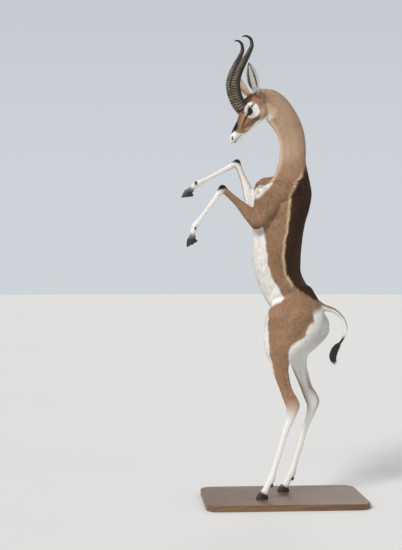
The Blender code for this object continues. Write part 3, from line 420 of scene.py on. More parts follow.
# Left hind leg from haunch to coronet: front (x, z), rear (x, z), half width, out from the midline
hindLeg = [
    ((-0.015, 1.030), (0.150, 1.020), 0.040, 0.048),
    ((-0.072, 0.945), (0.190, 0.930), 0.056, 0.062),
    ((-0.100, 0.880), (0.190, 0.868), 0.062, 0.074),
    ((-0.110, 0.812), (0.158, 0.798), 0.058, 0.084),
    ((-0.111, 0.758), (0.092, 0.738), 0.048, 0.094),
    ((-0.100, 0.710), (0.034, 0.694), 0.039, 0.100),
    ((-0.078, 0.660), (0.016, 0.652), 0.032, 0.101),
    ((-0.054, 0.592), (0.020, 0.592), 0.025, 0.099),
    ((-0.028, 0.525), (0.037, 0.530), 0.0185, 0.096),
    ((-0.012, 0.480), (0.060, 0.492), 0.0180, 0.094),
    ((0.003, 0.440), (0.071, 0.458), 0.0190, 0.093),
    ((0.002, 0.402), (0.052, 0.402), 0.0170, 0.092),
    ((-0.014, 0.345), (0.021, 0.338), 0.0130, 0.091),
    ((-0.048, 0.225), (-0.018, 0.216), 0.0122, 0.090),
    ((-0.075, 0.140), (-0.045, 0.130), 0.0125, 0.090),
    ((-0.094, 0.098), (-0.054, 0.084), 0.0165, 0.090),
    ((-0.109, 0.062), (-0.077, 0.050), 0.0155, 0.090),
    ((-0.134, 0.022), (-0.092, 0.006), 0.0190, 0.090),
]
# Foreleg joints: shoulder blade top, shoulder, elbow, knee, fetlock, coronet, toe tip
foreJoints = {
    "l": [
        (0.065, -0.050, 1.535), (-0.090, -0.070, 1.500), (-0.136, -0.094, 1.362), (-0.3115, -0.094, 1.522),
        (-0.452, -0.080, 1.334), (-0.462, -0.078, 1.279), (-0.4725, -0.077, 1.216),
    ],
    "r": [
        (0.065, 0.050, 1.540), (-0.080, 0.070, 1.545), (-0.130, 0.096, 1.432), (-0.221, 0.098, 1.667),
        (-0.439, 0.080, 1.553), (-0.466, 0.078, 1.521), (-0.497, 0.077, 1.470),
    ],
}
# Bulk along each stretch of a foreleg: share of the way, front, rear and side radius
foreBulk = [
    [(0, 0.045, 0.060, 0.030), (0.5, 0.058, 0.075, 0.042), (1, 0.050, 0.058, 0.040)],
    [(0, 0.052, 0.085, 0.040), (0.5, 0.048, 0.078, 0.038), (1, 0.036, 0.042, 0.031)],
    [
        (0, 0.038, 0.044, 0.033), (0.25, 0.034, 0.036, 0.029), (0.55, 0.023, 0.021, 0.021),
        (0.85, 0.0175, 0.0165, 0.0175), (1, 0.0200, 0.0170, 0.0200),
    ],
    [
        (0, 0.0190, 0.0185, 0.0200), (0.15, 0.0155, 0.0165, 0.0165), (0.4, 0.0120, 0.0140, 0.0122),
        (0.82, 0.0120, 0.0140, 0.0122), (1, 0.0170, 0.0190, 0.0170),
    ],
    [(0, 0.0160, 0.0180, 0.0165), (0.5, 0.0140, 0.0150, 0.0150), (1.3, 0.0185, 0.0185, 0.0190)],
]
tailCurve = [  # x, z, radius
    (0.160, 0.960, 0.026), (0.205, 0.938, 0.019), (0.262, 0.918, 0.014), (0.302, 0.880, 0.0115),
    (0.318, 0.832, 0.0100), (0.306, 0.786, 0.0085), (0.284, 0.752, 0.0075),
]


def midlineRows(stations):
    return [(v[0], 0.0, v[1], d[0], 0.0, d[1], width, egg) for v, d, width, egg in stations]


def limbRows(start, end, bulk):
    start, end = np.array(start), np.array(end)
    forward = unit(np.cross((0.0, 1.0, 0.0), end - start))
    rows = []
    for share, front, rear, side in bulk:
        centre = start + (end - start) * share
        rows.append((*(centre + forward * front), *(centre - forward * rear), side, 0.0))
    return rows


def strideShift(height):
    rise = np.clip((height - bodySizes["planted"]) / (bodySizes["hip"] - bodySizes["planted"]), 0.0, 1.0)
    return bodySizes["stride"] * (1 - rise**3)


def hindRows(mark):
    across = -1 if mark == "l" else 1
    rows = []
    for front, rear, width, out in hindLeg:
        shift = strideShift((front[1] + rear[1]) / 2) if mark == "r" else 0.0
        place = across * out
        rows.append((front[0] + shift, place, front[1], rear[0] + shift, place, rear[1], width, 0.0))
    return rows


def tailRows(stations):
    centres = np.array([(x, z) for x, z, _ in stations])
    ways = unit(np.gradient(centres, axis=0))
    rows = []
    for (x, z), (dx, dz), (_, _, radius) in zip(centres, ways, stations):
        ahead, down = dz * radius, dx * radius
        rows.append((x + ahead, 0.0, z - down, x - ahead, 0.0, z + down, radius, 0.0))
    return rows


def makeBody():
    shape = bmesh.new()
    addLoft(shape, midlineRows(trunk), 0.012, 64)
    addLoft(shape, tailRows(tailCurve), 0.008, 28)
    for mark, joints in foreJoints.items():
        for start, end, bulk in zip(joints, joints[1:], foreBulk):
            addLoft(shape, limbRows(start, end, bulk))
        addLoft(shape, hindRows(mark))
    body = meshObject("body", shape)
    fuse(body, bodySizes["voxel"])
    relax(body.data, bodySizes["rounds"])
    points = coordinates(body.data)
    for side in (1, -1):  # the shoulder's top runs smoothly into the neck, the haunch into the loin
        for x, y, z, reach in bodySizes["blends"]:
            away = np.linalg.norm(points - (x, side * y, z), axis=1)
            relax(body.data, bodySizes["blendRounds"], 1 - ease(away, reach * 0.35, reach), (0.5,))
    return body


# Hollows between muscles and beside tendons, as lines in the side view (x, z): reach, depth, line
hindHollows = [
    (0.0085, 0.0052, [(-0.022, 0.655), (-0.002, 0.600), (0.014, 0.545), (0.030, 0.500)]),
    (0.0034, 0.0016, [(0.033, 0.402), (0.008, 0.345), (-0.029, 0.225), (-0.056, 0.140)]),
    (0.0200, 0.0042, [(0.055, 0.960), (-0.005, 0.860), (-0.040, 0.790), (-0.052, 0.730)]),
    (0.0150, 0.0034, [(0.150, 0.930), (0.100, 0.840), (0.040, 0.760), (-0.010, 0.700)]),
    (0.0100, 0.0022, [(-0.062, 0.730), (-0.048, 0.660), (-0.030, 0.600)]),
]
trunkHollows = [
    (0.0110, 0.0026, [(-0.001, 1.640), (0.008, 1.712), (0.006, 1.770), (-0.014, 1.825), (-0.050, 1.880)]),
    (0.0180, 0.0022, [(0.052, 1.600), (0.052, 1.690), (0.048, 1.780), (0.020, 1.860), (-0.028, 1.930)]),
    (0.0180, 0.0034, [(0.070, 1.470), (0.030, 1.420), (-0.030, 1.372), (-0.090, 1.352)]),
    (0.0220, 0.0030, [(0.060, 1.110), (0.000, 1.075), (-0.060, 1.020), (-0.095, 0.960)]),
]


def groove(flat, reach, depth, line):  # the depth pressed in at each point, fading towards the line's ends
    distance, reached = lineDistance(flat, line)
    return depth * bell(distance, 0, reach) * ease(reached, 0, 0.30) * (1 - ease(reached, 0.82, 1))


def shapeBody(mesh):
    points = coordinates(mesh)
    normals = vertexNormals(mesh)
    x, y, z = points.T
    sideways = ease(np.abs(normals[:, 1]), 0.25, 0.75)
    press = np.zeros(len(points))
    moved = np.stack([x - np.where(y > 0, strideShift(z), 0.0), z], axis=1)
    for reach, depth, line in hindHollows:
        press += groove(moved, reach, depth, line) * (z < 0.99)
    for reach, depth, line in trunkHollows:
        press += groove(points[:, ::2], reach, depth, line) * (z > 0.94)
    for joints in foreJoints.values():
        knee, fetlock = np.array(joints[3]), np.array(joints[4])
        back = unit(np.cross(fetlock - knee, (0.0, 1.0, 0.0))) * bodySizes["tendonInset"]
        line = [(knee + (fetlock - knee) * share + back)[::2] for share in (0.14, 0.90)]
        distance = lineDistance(points[:, ::2], line)[0]
        press += bodySizes["tendonDepth"] * bell(distance, 0, bodySizes["tendonReach"]) * (x < -0.2)
    setCoordinates(mesh, points - (press * sideways)[:, None] * normals)


# The head in its own frame, nose along +x and crown along +z: underside (x, z), top (x, z), half width
headSizes = {
    "scale": 1.06,
    "pitch": 53,
    "yaw": 14,
    "place": (-0.099, 0.0, 2.001),
    "eye": (0.121, 0.0320, 0.013),
    "eyeRadius": 0.0175,
    "voxel": 0.0018,
    "rounds": 34,
}
skull = [
    ((0.000, -0.036), (0.000, 0.028), 0.035),
    ((0.030, -0.050), (0.028, 0.047), 0.043),
    ((0.060, -0.054), (0.058, 0.057), 0.046),
    ((0.090, -0.052), (0.088, 0.062), 0.046),
    ((0.115, -0.045), (0.113, 0.058), 0.044),
    ((0.140, -0.038), (0.138, 0.044), 0.0375),
    ((0.165, -0.034), (0.164, 0.033), 0.0300),
    ((0.195, -0.031), (0.194, 0.026), 0.0250),
    ((0.225, -0.028), (0.224, 0.021), 0.0222),
    ((0.250, -0.026), (0.249, 0.015), 0.0212),
    ((0.264, -0.024), (0.263, 0.009), 0.0190),
    ((0.272, -0.021), (0.271, 0.001), 0.0130),
]
jaw = [
    ((0.045, -0.064), (0.045, -0.010), 0.033),
    ((0.072, -0.073), (0.070, -0.015), 0.034),
    ((0.102, -0.070), (0.100, -0.015), 0.030),
    ((0.140, -0.060), (0.140, -0.015), 0.0245),
    ((0.180, -0.050), (0.180, -0.018), 0.0195),
    ((0.220, -0.0425), (0.220, -0.018), 0.0170),
    ((0.246, -0.0405), (0.246, -0.019), 0.0158),
    ((0.262, -0.0365), (0.262, -0.019), 0.0125),
]
headMasses = {  # left side: centre and half sizes
    "cheek": ((0.082, 0.028, -0.030), (0.046, 0.018, 0.034)),
    "upper lip": ((0.162, 0.017, -0.026), (0.044, 0.012, 0.019)),
    "orbit": (headSizes["eye"], (0.0200, 0.0190, 0.0192)),
    "brow": ((0.122, 0.035, 0.026), (0.024, 0.0125, 0.010)),
    "ear root": ((0.032, 0.034, 0.026), (0.021, 0.014, 0.019)),
    "horn root": ((0.119, 0.0255, 0.036), (0.0270, 0.0225, 0.0215)),
    "nostril wing": ((0.2625, 0.0115, -0.004), (0.0125, 0.0085, 0.0100)),
}


def headMatrix():
    noseAhead = Matrix(((-1, 0, 0), (0, -1, 0), (0, 0, 1))).to_4x4()
    turn = Euler((0.0, math.radians(headSizes["pitch"]), 0.0)).to_matrix().to_4x4()
    yaw = Matrix.Rotation(math.radians(headSizes["yaw"]), 4, "Z")
    scale = Matrix.Scale(headSizes["scale"], 4)
    return Matrix.Translation(headSizes["place"]) @ yaw @ noseAhead @ turn @ scale


headPlace = headMatrix()
headBack = np.array(headPlace.inverted())
headTurn = np.array(headPlace)


def toHead(points):
    return points @ headBack[:3, :3].T + headBack[:3, 3]


def fromHead(points):
    return np.asarray(points) @ headTurn[:3, :3].T + headTurn[:3, 3]


def makeHead():
    shape = bmesh.new()
    addLoft(shape, midlineRows([(*s, 0.0) for s in skull]), 0.004, 56, headPlace)
    addLoft(shape, midlineRows([(*s, 0.0) for s in jaw]), 0.004, 48, headPlace)
    for (x, y, z), radii in headMasses.values():
        for side in (1, -1):
            addBall(shape, (x, side * y, z), radii, headPlace)
    addLoft(shape, midlineRows(trunk[13:]), 0.008, 56)
    head = meshObject("headMasses", shape)
    fuse(head, headSizes["voxel"])
    relax(head.data, headSizes["rounds"])
    return head


# The face, left side, in the head's frame
face = {
    "lidLong": 0.0165,
    "lidTall": 0.0118,
    "lidPinch": 0.14,
    "lidTilt": -24,
    "mouth": [
        (0.2790, 0.0, -0.0225), (0.2700, 0.0115, -0.0228), (0.2500, 0.0190, -0.0242),
        (0.2280, 0.0215, -0.0262), (0.2120, 0.0232, -0.0268), (0.2020, 0.0245, -0.0266),
    ],
    "mouthReach": 0.0013,
    "mouthDepth": 0.0036,
    "lipReach": 0.0042,
    "lipSwell": 0.0007,
    "nostril": [(0.2740, 0.0095, -0.0075), (0.2700, 0.0135, -0.0010), (0.2610, 0.0165, 0.0030)],
    "nostrilReach": 0.0017,
    "nostrilDepth": 0.0062,
    "nostrilRim": 0.0008,
    "gland": [(0.163, 0.030, 0.000), (0.151, 0.035, 0.001)],
    "glandReach": 0.0022,
    "glandDepth": 0.0016,
    "lidFold": 0.0009,
    "lidThick": 0.0012,
    "socketDepth": 0.0055,
    "fineEye": 0.034,  # how far the finer mesh reaches round the eye, the mouth and the nostrils
    "fineMouth": 0.0096,
    "fineNostril": 0.0112,
}
eyePlace = np.array(headSizes["eye"])


def almond(local, side):  # 1 on the rim of the opening between the lids, less inside it
    tilt = math.radians(face["lidTilt"])
    ahead, up = local[:, 0] - eyePlace[0], local[:, 2] - eyePlace[2]
    long = (ahead * math.cos(tilt) + up * math.sin(tilt)) / face["lidLong"]
    tall = (-ahead * math.sin(tilt) + up * math.cos(tilt)) / face["lidTall"]
    bearing = np.abs(long) / np.maximum(np.hypot(long, tall), 1e-9)
    radius = np.hypot(long, tall / (1 - face["lidPinch"] * bearing**2))
    return np.where(side * local[:, 1] > 0.015, radius, 9.0)


def lidRim(local):  # the same for both eyes
    return np.minimum(almond(local, 1), almond(local, -1))


def refine(mesh, chosen):  # splits the chosen faces once, for the fine forms of the face
    shape = bmesh.new()
    shape.from_mesh(mesh)
    shape.faces.ensure_lookup_table()
    edges = {edge for index in chosen for edge in shape.faces[index].edges}
    bmesh.ops.subdivide_edges(shape, edges=list(edges), cuts=1, use_grid_fill=True)
    shape.to_mesh(mesh)
    shape.free()
    mesh.update()


def fromFace(local, name, side):  # distance to one of the face's lines
    return lineDistance(local, [(x, side * y, z) for x, y, z in face[name]])[0]


def shapeFace(mesh):
    local = toHead(faceCentres(mesh))
    fine = np.zeros(len(local), bool)
    for side in (1, -1):
        fine |= np.linalg.norm(local - eyePlace * (1, side, 1), axis=1) < face["fineEye"]
        fine |= fromFace(local, "mouth", side) < face["fineMouth"]
        fine |= fromFace(local, "nostril", side) < face["fineNostril"]
    refine(mesh, np.flatnonzero(fine))

    local = toHead(coordinates(mesh))
    normals = unit(vertexNormals(mesh) @ headTurn[:3, :3])
    for side in (1, -1):
        mouth, nostril, gland = (fromFace(local, name, side) for name in ("mouth", "nostril", "gland"))
        press = face["mouthDepth"] * bell(mouth, 0, face["mouthReach"])
        press -= face["lipSwell"] * bell(mouth, face["lipReach"], face["lipReach"] / 2)
        press += face["nostrilDepth"] * bell(nostril, 0, face["nostrilReach"])
        press -= face["nostrilRim"] * bell(nostril, 0.0042, 0.0018)
        press += face["glandDepth"] * bell(gland, 0, face["glandReach"])
        rim = almond(local, side)
        press += face["lidFold"] * bell(rim, 1.42, 0.07) * (local[:, 2] > eyePlace[2] - 0.004)
        local = local - press[:, None] * normals
        # the lids hug the eyeball and the socket opens behind them
        out = side * local[:, 1]
        away = np.hypot(local[:, 0] - eyePlace[0], local[:, 2] - eyePlace[2])
        lid = (headSizes["eyeRadius"] + face["lidThick"]) ** 2
        ball = eyePlace[1] + np.sqrt(np.maximum(lid - away**2, 0.0))
        hug = 1 - ease(rim, 1.0, 1.75)
        out = np.where(rim < 9, out + hug * (ball - out), out)
        sunk = 1 - ease(rim, 0.90, 1.0)
        out = np.where(rim < 9, out - sunk * face["socketDepth"], out)
        local[:, 1] = side * out
    setCoordinates(mesh, fromHead(local))


# The ears in the head's frame: root, lean and facing of the left one, then stations along it with
# half the unrolled width as a share of the whole, how far it wraps round, thickness and sway
earSizes = {
    "length": 0.160,
    "width": 0.078,
    "root": (0.030, 0.040, 0.030),
    "lean": (-0.40, 0.42, 0.85),
    "facing": (0.75, 0.75, 0.0),
    "rows": 56,
    "columns": 26,
    "thin": 0.80,
    "fold": 0.0007,
    "buried": 0.14,  # how much of the root is hidden, as a share of the length
}
earStations = [
    (-0.14, 0.27, 160, 0.0080, -0.004), (0.04, 0.30, 148, 0.0050, -0.002), (0.18, 0.38, 118, 0.0038, -0.001),
    (0.32, 0.47, 92, 0.0032, -0.003), (0.48, 0.50, 76, 0.0028, -0.004), (0.64, 0.45, 66, 0.0026, -0.004),
    (0.78, 0.34, 58, 0.0024, -0.002), (0.90, 0.20, 48, 0.0020, 0.001), (0.97, 0.09, 40, 0.0017, 0.003),
    (1.00, 0.025, 30, 0.0012, 0.004),
]


def earFrame(side):
    mirror = Vector((1, side, 1))
    root, axis, facing = (Vector(earSizes[name]) * mirror for name in ("root", "lean", "facing"))
    axis.normalize()
    facing = (facing - axis * facing.dot(axis)).normalized()
    return root, axis, facing, axis.cross(facing)


def earRow(share):
    table = np.array(earStations)
    return [np.interp(share, table[:, 0], table[:, k]) for k in (1, 2, 3, 4)]


def makeEar(side):
    root, axis, facing, across = earFrame(side)
    columns = earSizes["columns"]
    shape = bmesh.new()
    rings = []
    for row in range(earSizes["rows"] + 1):
        rise = math.sin(math.pi / 2 * row / earSizes["rows"])
        share = -earSizes["buried"] + (1 + earSizes["buried"]) * rise
        # three readings a little apart round off the corners between stations
        half, wrap, thick, sway = np.mean([earRow(share + step) for step in (-0.02, 0.0, 0.02)], axis=0)
        thick *= earSizes["thin"]
        spine = root + axis * (share * earSizes["length"]) + facing * sway
        reach = half * earSizes["width"] / math.radians(wrap)
        ring = []
        for inner, order in ((False, range(columns + 1)), (True, range(columns, -1, -1))):
            for k in order:
                place = 2 * k / columns - 1
                a = math.radians(wrap) * place
                edge = 1 - 0.55 * abs(place) ** 3
                radius = reach + (-0.5 if inner else 0.5) * thick * edge
                if inner:  # long folds inside the cup
                    radius -= earSizes["fold"] * (1 - place**2) * (1 + math.cos(7 * math.pi * place)) / 2
                bow = facing * (reach - radius * math.cos(a))
                ring.append(headPlace @ (spine + bow + across * (radius * math.sin(a))))
        rings.append(ring)
    addRings(shape, rings)
    return meshObject("ear", shape)


def nearEar(local, side):  # share along the ear, how far across, and which points lie on its leaf
    root, axis, facing, across = (np.array(v) for v in earFrame(side))
    offset = local - root
    along, aside, off = offset @ axis / earSizes["length"], offset @ across, offset @ facing
    on = (along > 0.10) & (side * local[:, 1] > 0.035) & (local[:, 2] > 0.036)
    return along, aside, on & (np.abs(aside) < 0.06) & (np.abs(off) < 0.05)


# The feet, each in its own frame: toe ahead along +x, sole at z = 0
footSizes = {
    "heel": -0.0200,
    "toe": 0.0400,
    "coronetFront": 0.0160,
    "hoofSlope": 52,
    "coronetSlope": 25,
    "coronetPlace": (-0.0030, 0.0, 0.0270),
    "clawWidth": 0.0155,
    "cleft": 0.0026,
    "hindPlace": (-0.108, 0.090),
    "hindDewclaw": (-0.0375, 0.0115, 0.066),
    "foreDewclaw": (-0.0400, 0.0125, 0.064),
    "dewclaw": (0.0072, 0.0054, 0.0215),  # half depth, half width, length
    "growth": 0.00005,
    "clawPoints": 52,
    "clawLevels": 40,
}


def inFoot(points, foot):  # in the foot's own frame, with the height above the coronet
    turn = np.array(foot)
    local = (points - turn[:3, 3]) @ turn[:3, :3]
    x, _, z = footSizes["coronetPlace"]
    high = local[:, 2] - z - (local[:, 0] - x) * math.tan(math.radians(footSizes["coronetSlope"]))
    return local, high


def footMatrices():
    feet = {}
    turned = Matrix.Rotation(math.pi, 4, "Z")
    for mark, across in (("l", -1), ("r", 1)):
        shift = bodySizes["stride"] if mark == "r" else 0.0
        x, y = footSizes["hindPlace"]
        feet["hind", mark] = Matrix.Translation((x + shift, across * y, 0)) @ turned
        coronet, toe = (Vector(joint) for joint in foreJoints[mark][5:7])
        turn = math.atan2(coronet.z - toe.z, coronet.x - toe.x) - math.radians(footSizes["hoofSlope"])
        tipped = Matrix.Translation(coronet) @ (Matrix.Rotation(-turn, 4, "Y") @ turned)
        feet["fore", mark] = tipped @ Matrix.Translation(-Vector(footSizes["coronetPlace"]))
    return feet


# The skin: everything fused, fine forms of the face shaped, brought to its final fineness
skinSizes = {
    "voxel": 0.0019,
    "rounds": 7,
    "triangles": 168000,
    "bodyDepth": 0.0022,  # how far the skin lies inside the solids
    "legDepth": 0.0014,
    "faceDepth": 0.0008,
}


def shapePasterns(points):  # each pastern flares to its coronet and is narrow inside the hoof
    for (place, _), foot in footMatrices().items():
        local, high = inFoot(points, foot)
        near = (np.linalg.norm(local, axis=1) < 0.09) & (high > -0.08)
        under = near * (1 - ease(high, -0.010, -0.001))
        flare = near * bell(high, 0.003, 0.009)
        wide = 0.10 if place == "hind" else 0.30
        local[:, 1] *= 1 - 0.34 * under + 0.06 * flare
        local[:, 0] += (under * 0.22 - flare * wide) * (-0.004 - local[:, 0])
        turn = np.array(foot)
        points = local @ turn[:3, :3].T + turn[:3, 3]
    return points


def skinDepth(points):  # how far inside the solids the skin lies
    local = toHead(points)
    onHead = ease(local[:, 0], -0.01, 0.06) * ease(points[:, 2], 1.80, 1.86)
    onLeg = 1 - ease(points[:, 2], 0.45, 0.75)
    onLeg = np.maximum(onLeg, 1 - ease(points[:, 0], -0.26, -0.19))
    depth = skinSizes["bodyDepth"] + onLeg * (skinSizes["legDepth"] - skinSizes["bodyDepth"])
    depth += onHead * (skinSizes["faceDepth"] - depth)
    return depth * ease(lidRim(local), 1.0, 1.9)


def makeSkin():
    body, head = makeBody(), makeHead()
    shape = bmesh.new()
    for obj in (body, head):
        shape.from_mesh(obj.data)
        bpy.data.objects.remove(obj)
    skin = meshObject("skin", shape)
    fuse(skin, skinSizes["voxel"])
    relax(skin.data, skinSizes["rounds"])
    print("skin fused,", len(skin.data.vertices), "points")
    shapeBody(skin.data)
    shapeFace(skin.data)
    points = shapePasterns(coordinates(skin.data))
    setCoordinates(skin.data, points)
    setCoordinates(skin.data, points - skinDepth(points)[:, None] * vertexNormals(skin.data))
    skin.data.calc_loop_triangles()
    modifier = skin.modifiers.new("Thin", "DECIMATE")
    modifier.ratio = skinSizes["triangles"] / len(skin.data.loop_triangles)
    settle(skin)
    ears = [makeEar(1), makeEar(-1)]
    helpers = bpy.data.collections.new("ears")
    for ear in ears:
        helpers.objects.link(ear)
    modifier = skin.modifiers.new("Join", "BOOLEAN")
    modifier.operation = "UNION"
    modifier.solver = "MANIFOLD"
    modifier.operand_type = "COLLECTION"
    modifier.collection = helpers
    settle(skin)
    for ear in ears:
        bpy.data.objects.remove(ear)
    bpy.data.collections.remove(helpers)
    local = toHead(coordinates(skin.data))
    roots = np.minimum(*(np.linalg.norm(local - np.array(earFrame(s)[0]), axis=1) for s in (1, -1)))
    relax(skin.data, 6, 1 - ease(roots, 0.018, 0.030))
    skin.data.calc_loop_triangles()
    print("skin done,", len(skin.data.loop_triangles), "triangles")
    return skin


# Where each point of the skin lies: its part, the share along it, the angle round it, the lie of the hair

def axisOf(rows, spacing=0.02):  # the middle line of a loft, its mean radius and its half width
    rows = smoothRows(rows, spacing)
    deep = np.linalg.norm(rows[:, 3:6] - rows[:, 0:3], axis=1) / 2
    return (rows[:, 0:3] + rows[:, 3:6]) / 2, (rows[:, 6] + deep) / 2, rows[:, 6]


def partAxes():  # each part's line, radius along it, and whether its hair runs with (1) or against (-1) it
    parts = {"trunk": (*axisOf(midlineRows(trunk))[:2], -1)}
    line, _, width = axisOf(midlineRows([(*s, 0.0) for s in skull]))
    parts["head"] = (fromHead(line[::-1]), (width[::-1] + 0.042) / 2, 1)
    for mark, joints in foreJoints.items():
        line, radii = [joints[0]], [0.05]
        for start, end, bulk in zip(joints, joints[1:], foreBulk):
            for share, front, rear, side in bulk[1:]:
                line.append(tuple(np.array(start) + (np.array(end) - np.array(start)) * min(share, 1)))
                radii.append((front + rear + 2 * side) / 4)
        parts["fore" + mark] = (np.array(line), np.array(radii), 1)
        parts["hind" + mark] = (*axisOf(hindRows(mark))[:2], 1)
    line, _, width = axisOf(tailRows(tailCurve), 0.01)
    parts["tail"] = (line, width, 1)
    return parts


tiles = {  # where each part lies on the coat's map: left, bottom, width, height
    "trunk": (0.01, 0.01, 0.38, 0.98),
    "hindl": (0.41, 0.01, 0.14, 0.98),
    "hindr": (0.56, 0.01, 0.14, 0.98),
    "forel": (0.71, 0.01, 0.09, 0.70),
    "forer": (0.81, 0.01, 0.09, 0.70),
    "head": (0.71, 0.73, 0.19, 0.26),
    "tail": (0.91, 0.01, 0.08, 0.18),
    "earl": (0.91, 0.21, 0.08, 0.36),
    "earr": (0.91, 0.59, 0.08, 0.36),
}
hairLengths = {
    "head": 0.0062,
    "tail": 0.0120,
    "trunk": ([1.45, 1.75], [0.0145, 0.0115]),  # heights, and the length at each
    "hind": ([0.05, 0.45, 0.85], [0.0055, 0.0080, 0.0140]),
    "fore": ([0.25, 0.5, 0.7, 1.0], [0.0150, 0.0100, 0.0075, 0.0055]),  # shares along the leg
}


def placeOnBody(points):
    parts = partAxes()
    nearness, shares, angles = [], [], []
    lie = np.zeros_like(points)
    total = np.zeros(len(points))
    for name, (line, radii, sense) in parts.items():
        knots = lineShares(line)
        distance, share = lineDistance(points, line)
        near = distance / np.interp(share, knots, radii)
        ways = unit(np.gradient(line, axis=0))
        way = unit(np.stack([np.interp(share, knots, ways[:, k]) for k in range(3)], axis=1))
        centre = np.stack([np.interp(share, knots, line[:, k]) for k in range(3)], axis=1)
        sideways = np.array((0.0, 1.0, 0.0))
        if name == "head":
            sideways = unit(headTurn[:3, :3] @ np.array((0.0, -1.0, 0.0)))
        front = unit(np.cross(sideways, way))
        offset = points - centre
        angle = np.arctan2(offset @ sideways, (offset * front).sum(axis=1)) / (2 * math.pi) + 0.5
        weight = 1 / (near**8 + 0.01)
        lie += sense * weight[:, None] * way
        total += weight
        nearness.append(near)
        shares.append(share)
        angles.append(angle)
    choice = np.argmin(np.array(nearness), axis=0)
    return list(parts), choice, np.array(shares), np.array(angles), unit(lie / total[:, None])


def openings(local):  # distance in the side view to the nostrils and to the line of the mouth
    flat = local[:, ::2]
    outside = 0.02 * np.maximum(1 - ease(np.abs(local[:, 1]), 0.0095, 0.0125), local[:, 0] < 0.24)
    nostrils = lineDistance(flat, [(x, z) for x, _, z in face["nostril"]])[0] + outside
    return nostrils, lineDistance(flat, [(x, z) for x, _, z in face["mouth"]])[0]


# The coat's markings: borders as lines in the side view (x, z), read on both sides
markLines = {
    "saddle": [
        (0.112, 1.655), (0.091, 1.590), (0.050, 1.528), (0.030, 1.478), (0.025, 1.411), (0.015, 1.335),
        (-0.001, 1.258), (-0.006, 1.182), (0.008, 1.100), (0.047, 1.046), (0.104, 1.000), (0.154, 0.973),
        (0.218, 0.962),
    ],
    "belly": [
        (-0.150, 1.440), (-0.124, 1.370), (-0.103, 1.309), (-0.0955, 1.2325), (-0.0875, 1.156),
        (-0.0725, 1.0995), (-0.042, 1.0485), (-0.0215, 1.0125), (0.010, 0.960),
    ],
    "blaze": [(-0.136, 1.503), (-0.100, 1.526), (-0.058, 1.562)],
    "rump": [
        (0.190, 0.985), (0.156, 0.952), (0.1335, 0.920), (0.138, 0.874), (0.108, 0.848), (0.094, 0.806),
        (0.050, 0.772), (0.018, 0.750), (0.007, 0.718), (0.012, 0.685), (0.024, 0.645), (0.045, 0.590),
    ],
    "thighFront": [
        (-0.050, 1.000), (-0.082, 0.930), (-0.088, 0.860), (-0.086, 0.780), (-0.080, 0.700), (-0.062, 0.640),
    ],
    "neckFront": [
        (-0.115, 2.000), (-0.075, 1.905), (-0.030, 1.835), (-0.004, 1.770), (-0.002, 1.700), (-0.012, 1.640),
        (-0.040, 1.585),
    ],
}
markSizes = {
    "blaze": 0.019,  # width of the white streak from the chest towards the shoulder
    "napeShade": 0.14,  # strength of the painted shade darkening the back of the neck, mixed in as chestnut
    "hoofRim": 0.85,  # strength of the dark hair just above the hooves
}


def markHindLegs(points, part, wave):  # the white of the hind legs
    x, y, z = points.T
    arch = y * y
    middle = np.interp(z, *np.array(sorted(((f[1] + r[1]) / 2, out) for f, r, _, out in hindLeg)).T)
    white = np.zeros(len(points))
    for mark, side in (("l", -1), ("r", 1)):
        moved = np.stack([x - (strideShift(z) if mark == "r" else 0.0), z], axis=1)
        inner = 1 - ease(side * y - middle, -0.020, -0.004)
        rear = ease(beyondLine(moved, markLines["rump"]) + wave, -0.004, 0.004)
        rear = rear * (1 - ease(z + 4 * arch, 0.950, 0.980)) * ease(z, 0.590, 0.600)
        strip = ease(-beyondLine(moved, markLines["thighFront"]) + wave * 0.6, -0.003, 0.004)
        strip = strip * ease(z, 0.60, 0.66)
        leg = np.maximum.reduce([inner, rear, strip, 1 - ease(z, 0.36, 0.50)])
        white = np.maximum(white, leg * part["hind" + mark] * (z < 1.0))
    return white


def markForelegs(points, part, reach):  # the white of the forelegs and the dark brush over each knee
    white, dark = np.zeros(len(points)), np.zeros(len(points))
    for mark, side in (("l", -1), ("r", 1)):
        joints = np.array(foreJoints[mark])
        bends = lineShares(joints)
        along = reach["fore" + mark]
        inner = 1 - ease(side * points[:, 1] - np.abs(joints[2, 1]), -0.016, 0.0)
        inner = inner * ease(along, bends[2], bends[2] + 0.06)
        lower = ease(along, bends[3] + 0.01, bends[3] + 0.09)
        white = np.maximum(white, np.maximum(inner, lower) * part["fore" + mark])
        elbow, knee, fetlock = joints[2:5]
        outwards = unit(unit(knee - elbow) + unit(knee - fetlock))
        brush = 1 - ease(np.linalg.norm(points - (knee + outwards * 0.010), axis=1), 0.024, 0.034)
        dark = np.maximum(dark, brush * ease((points - knee) @ outwards, -0.008, 0.004))
    return white, dark


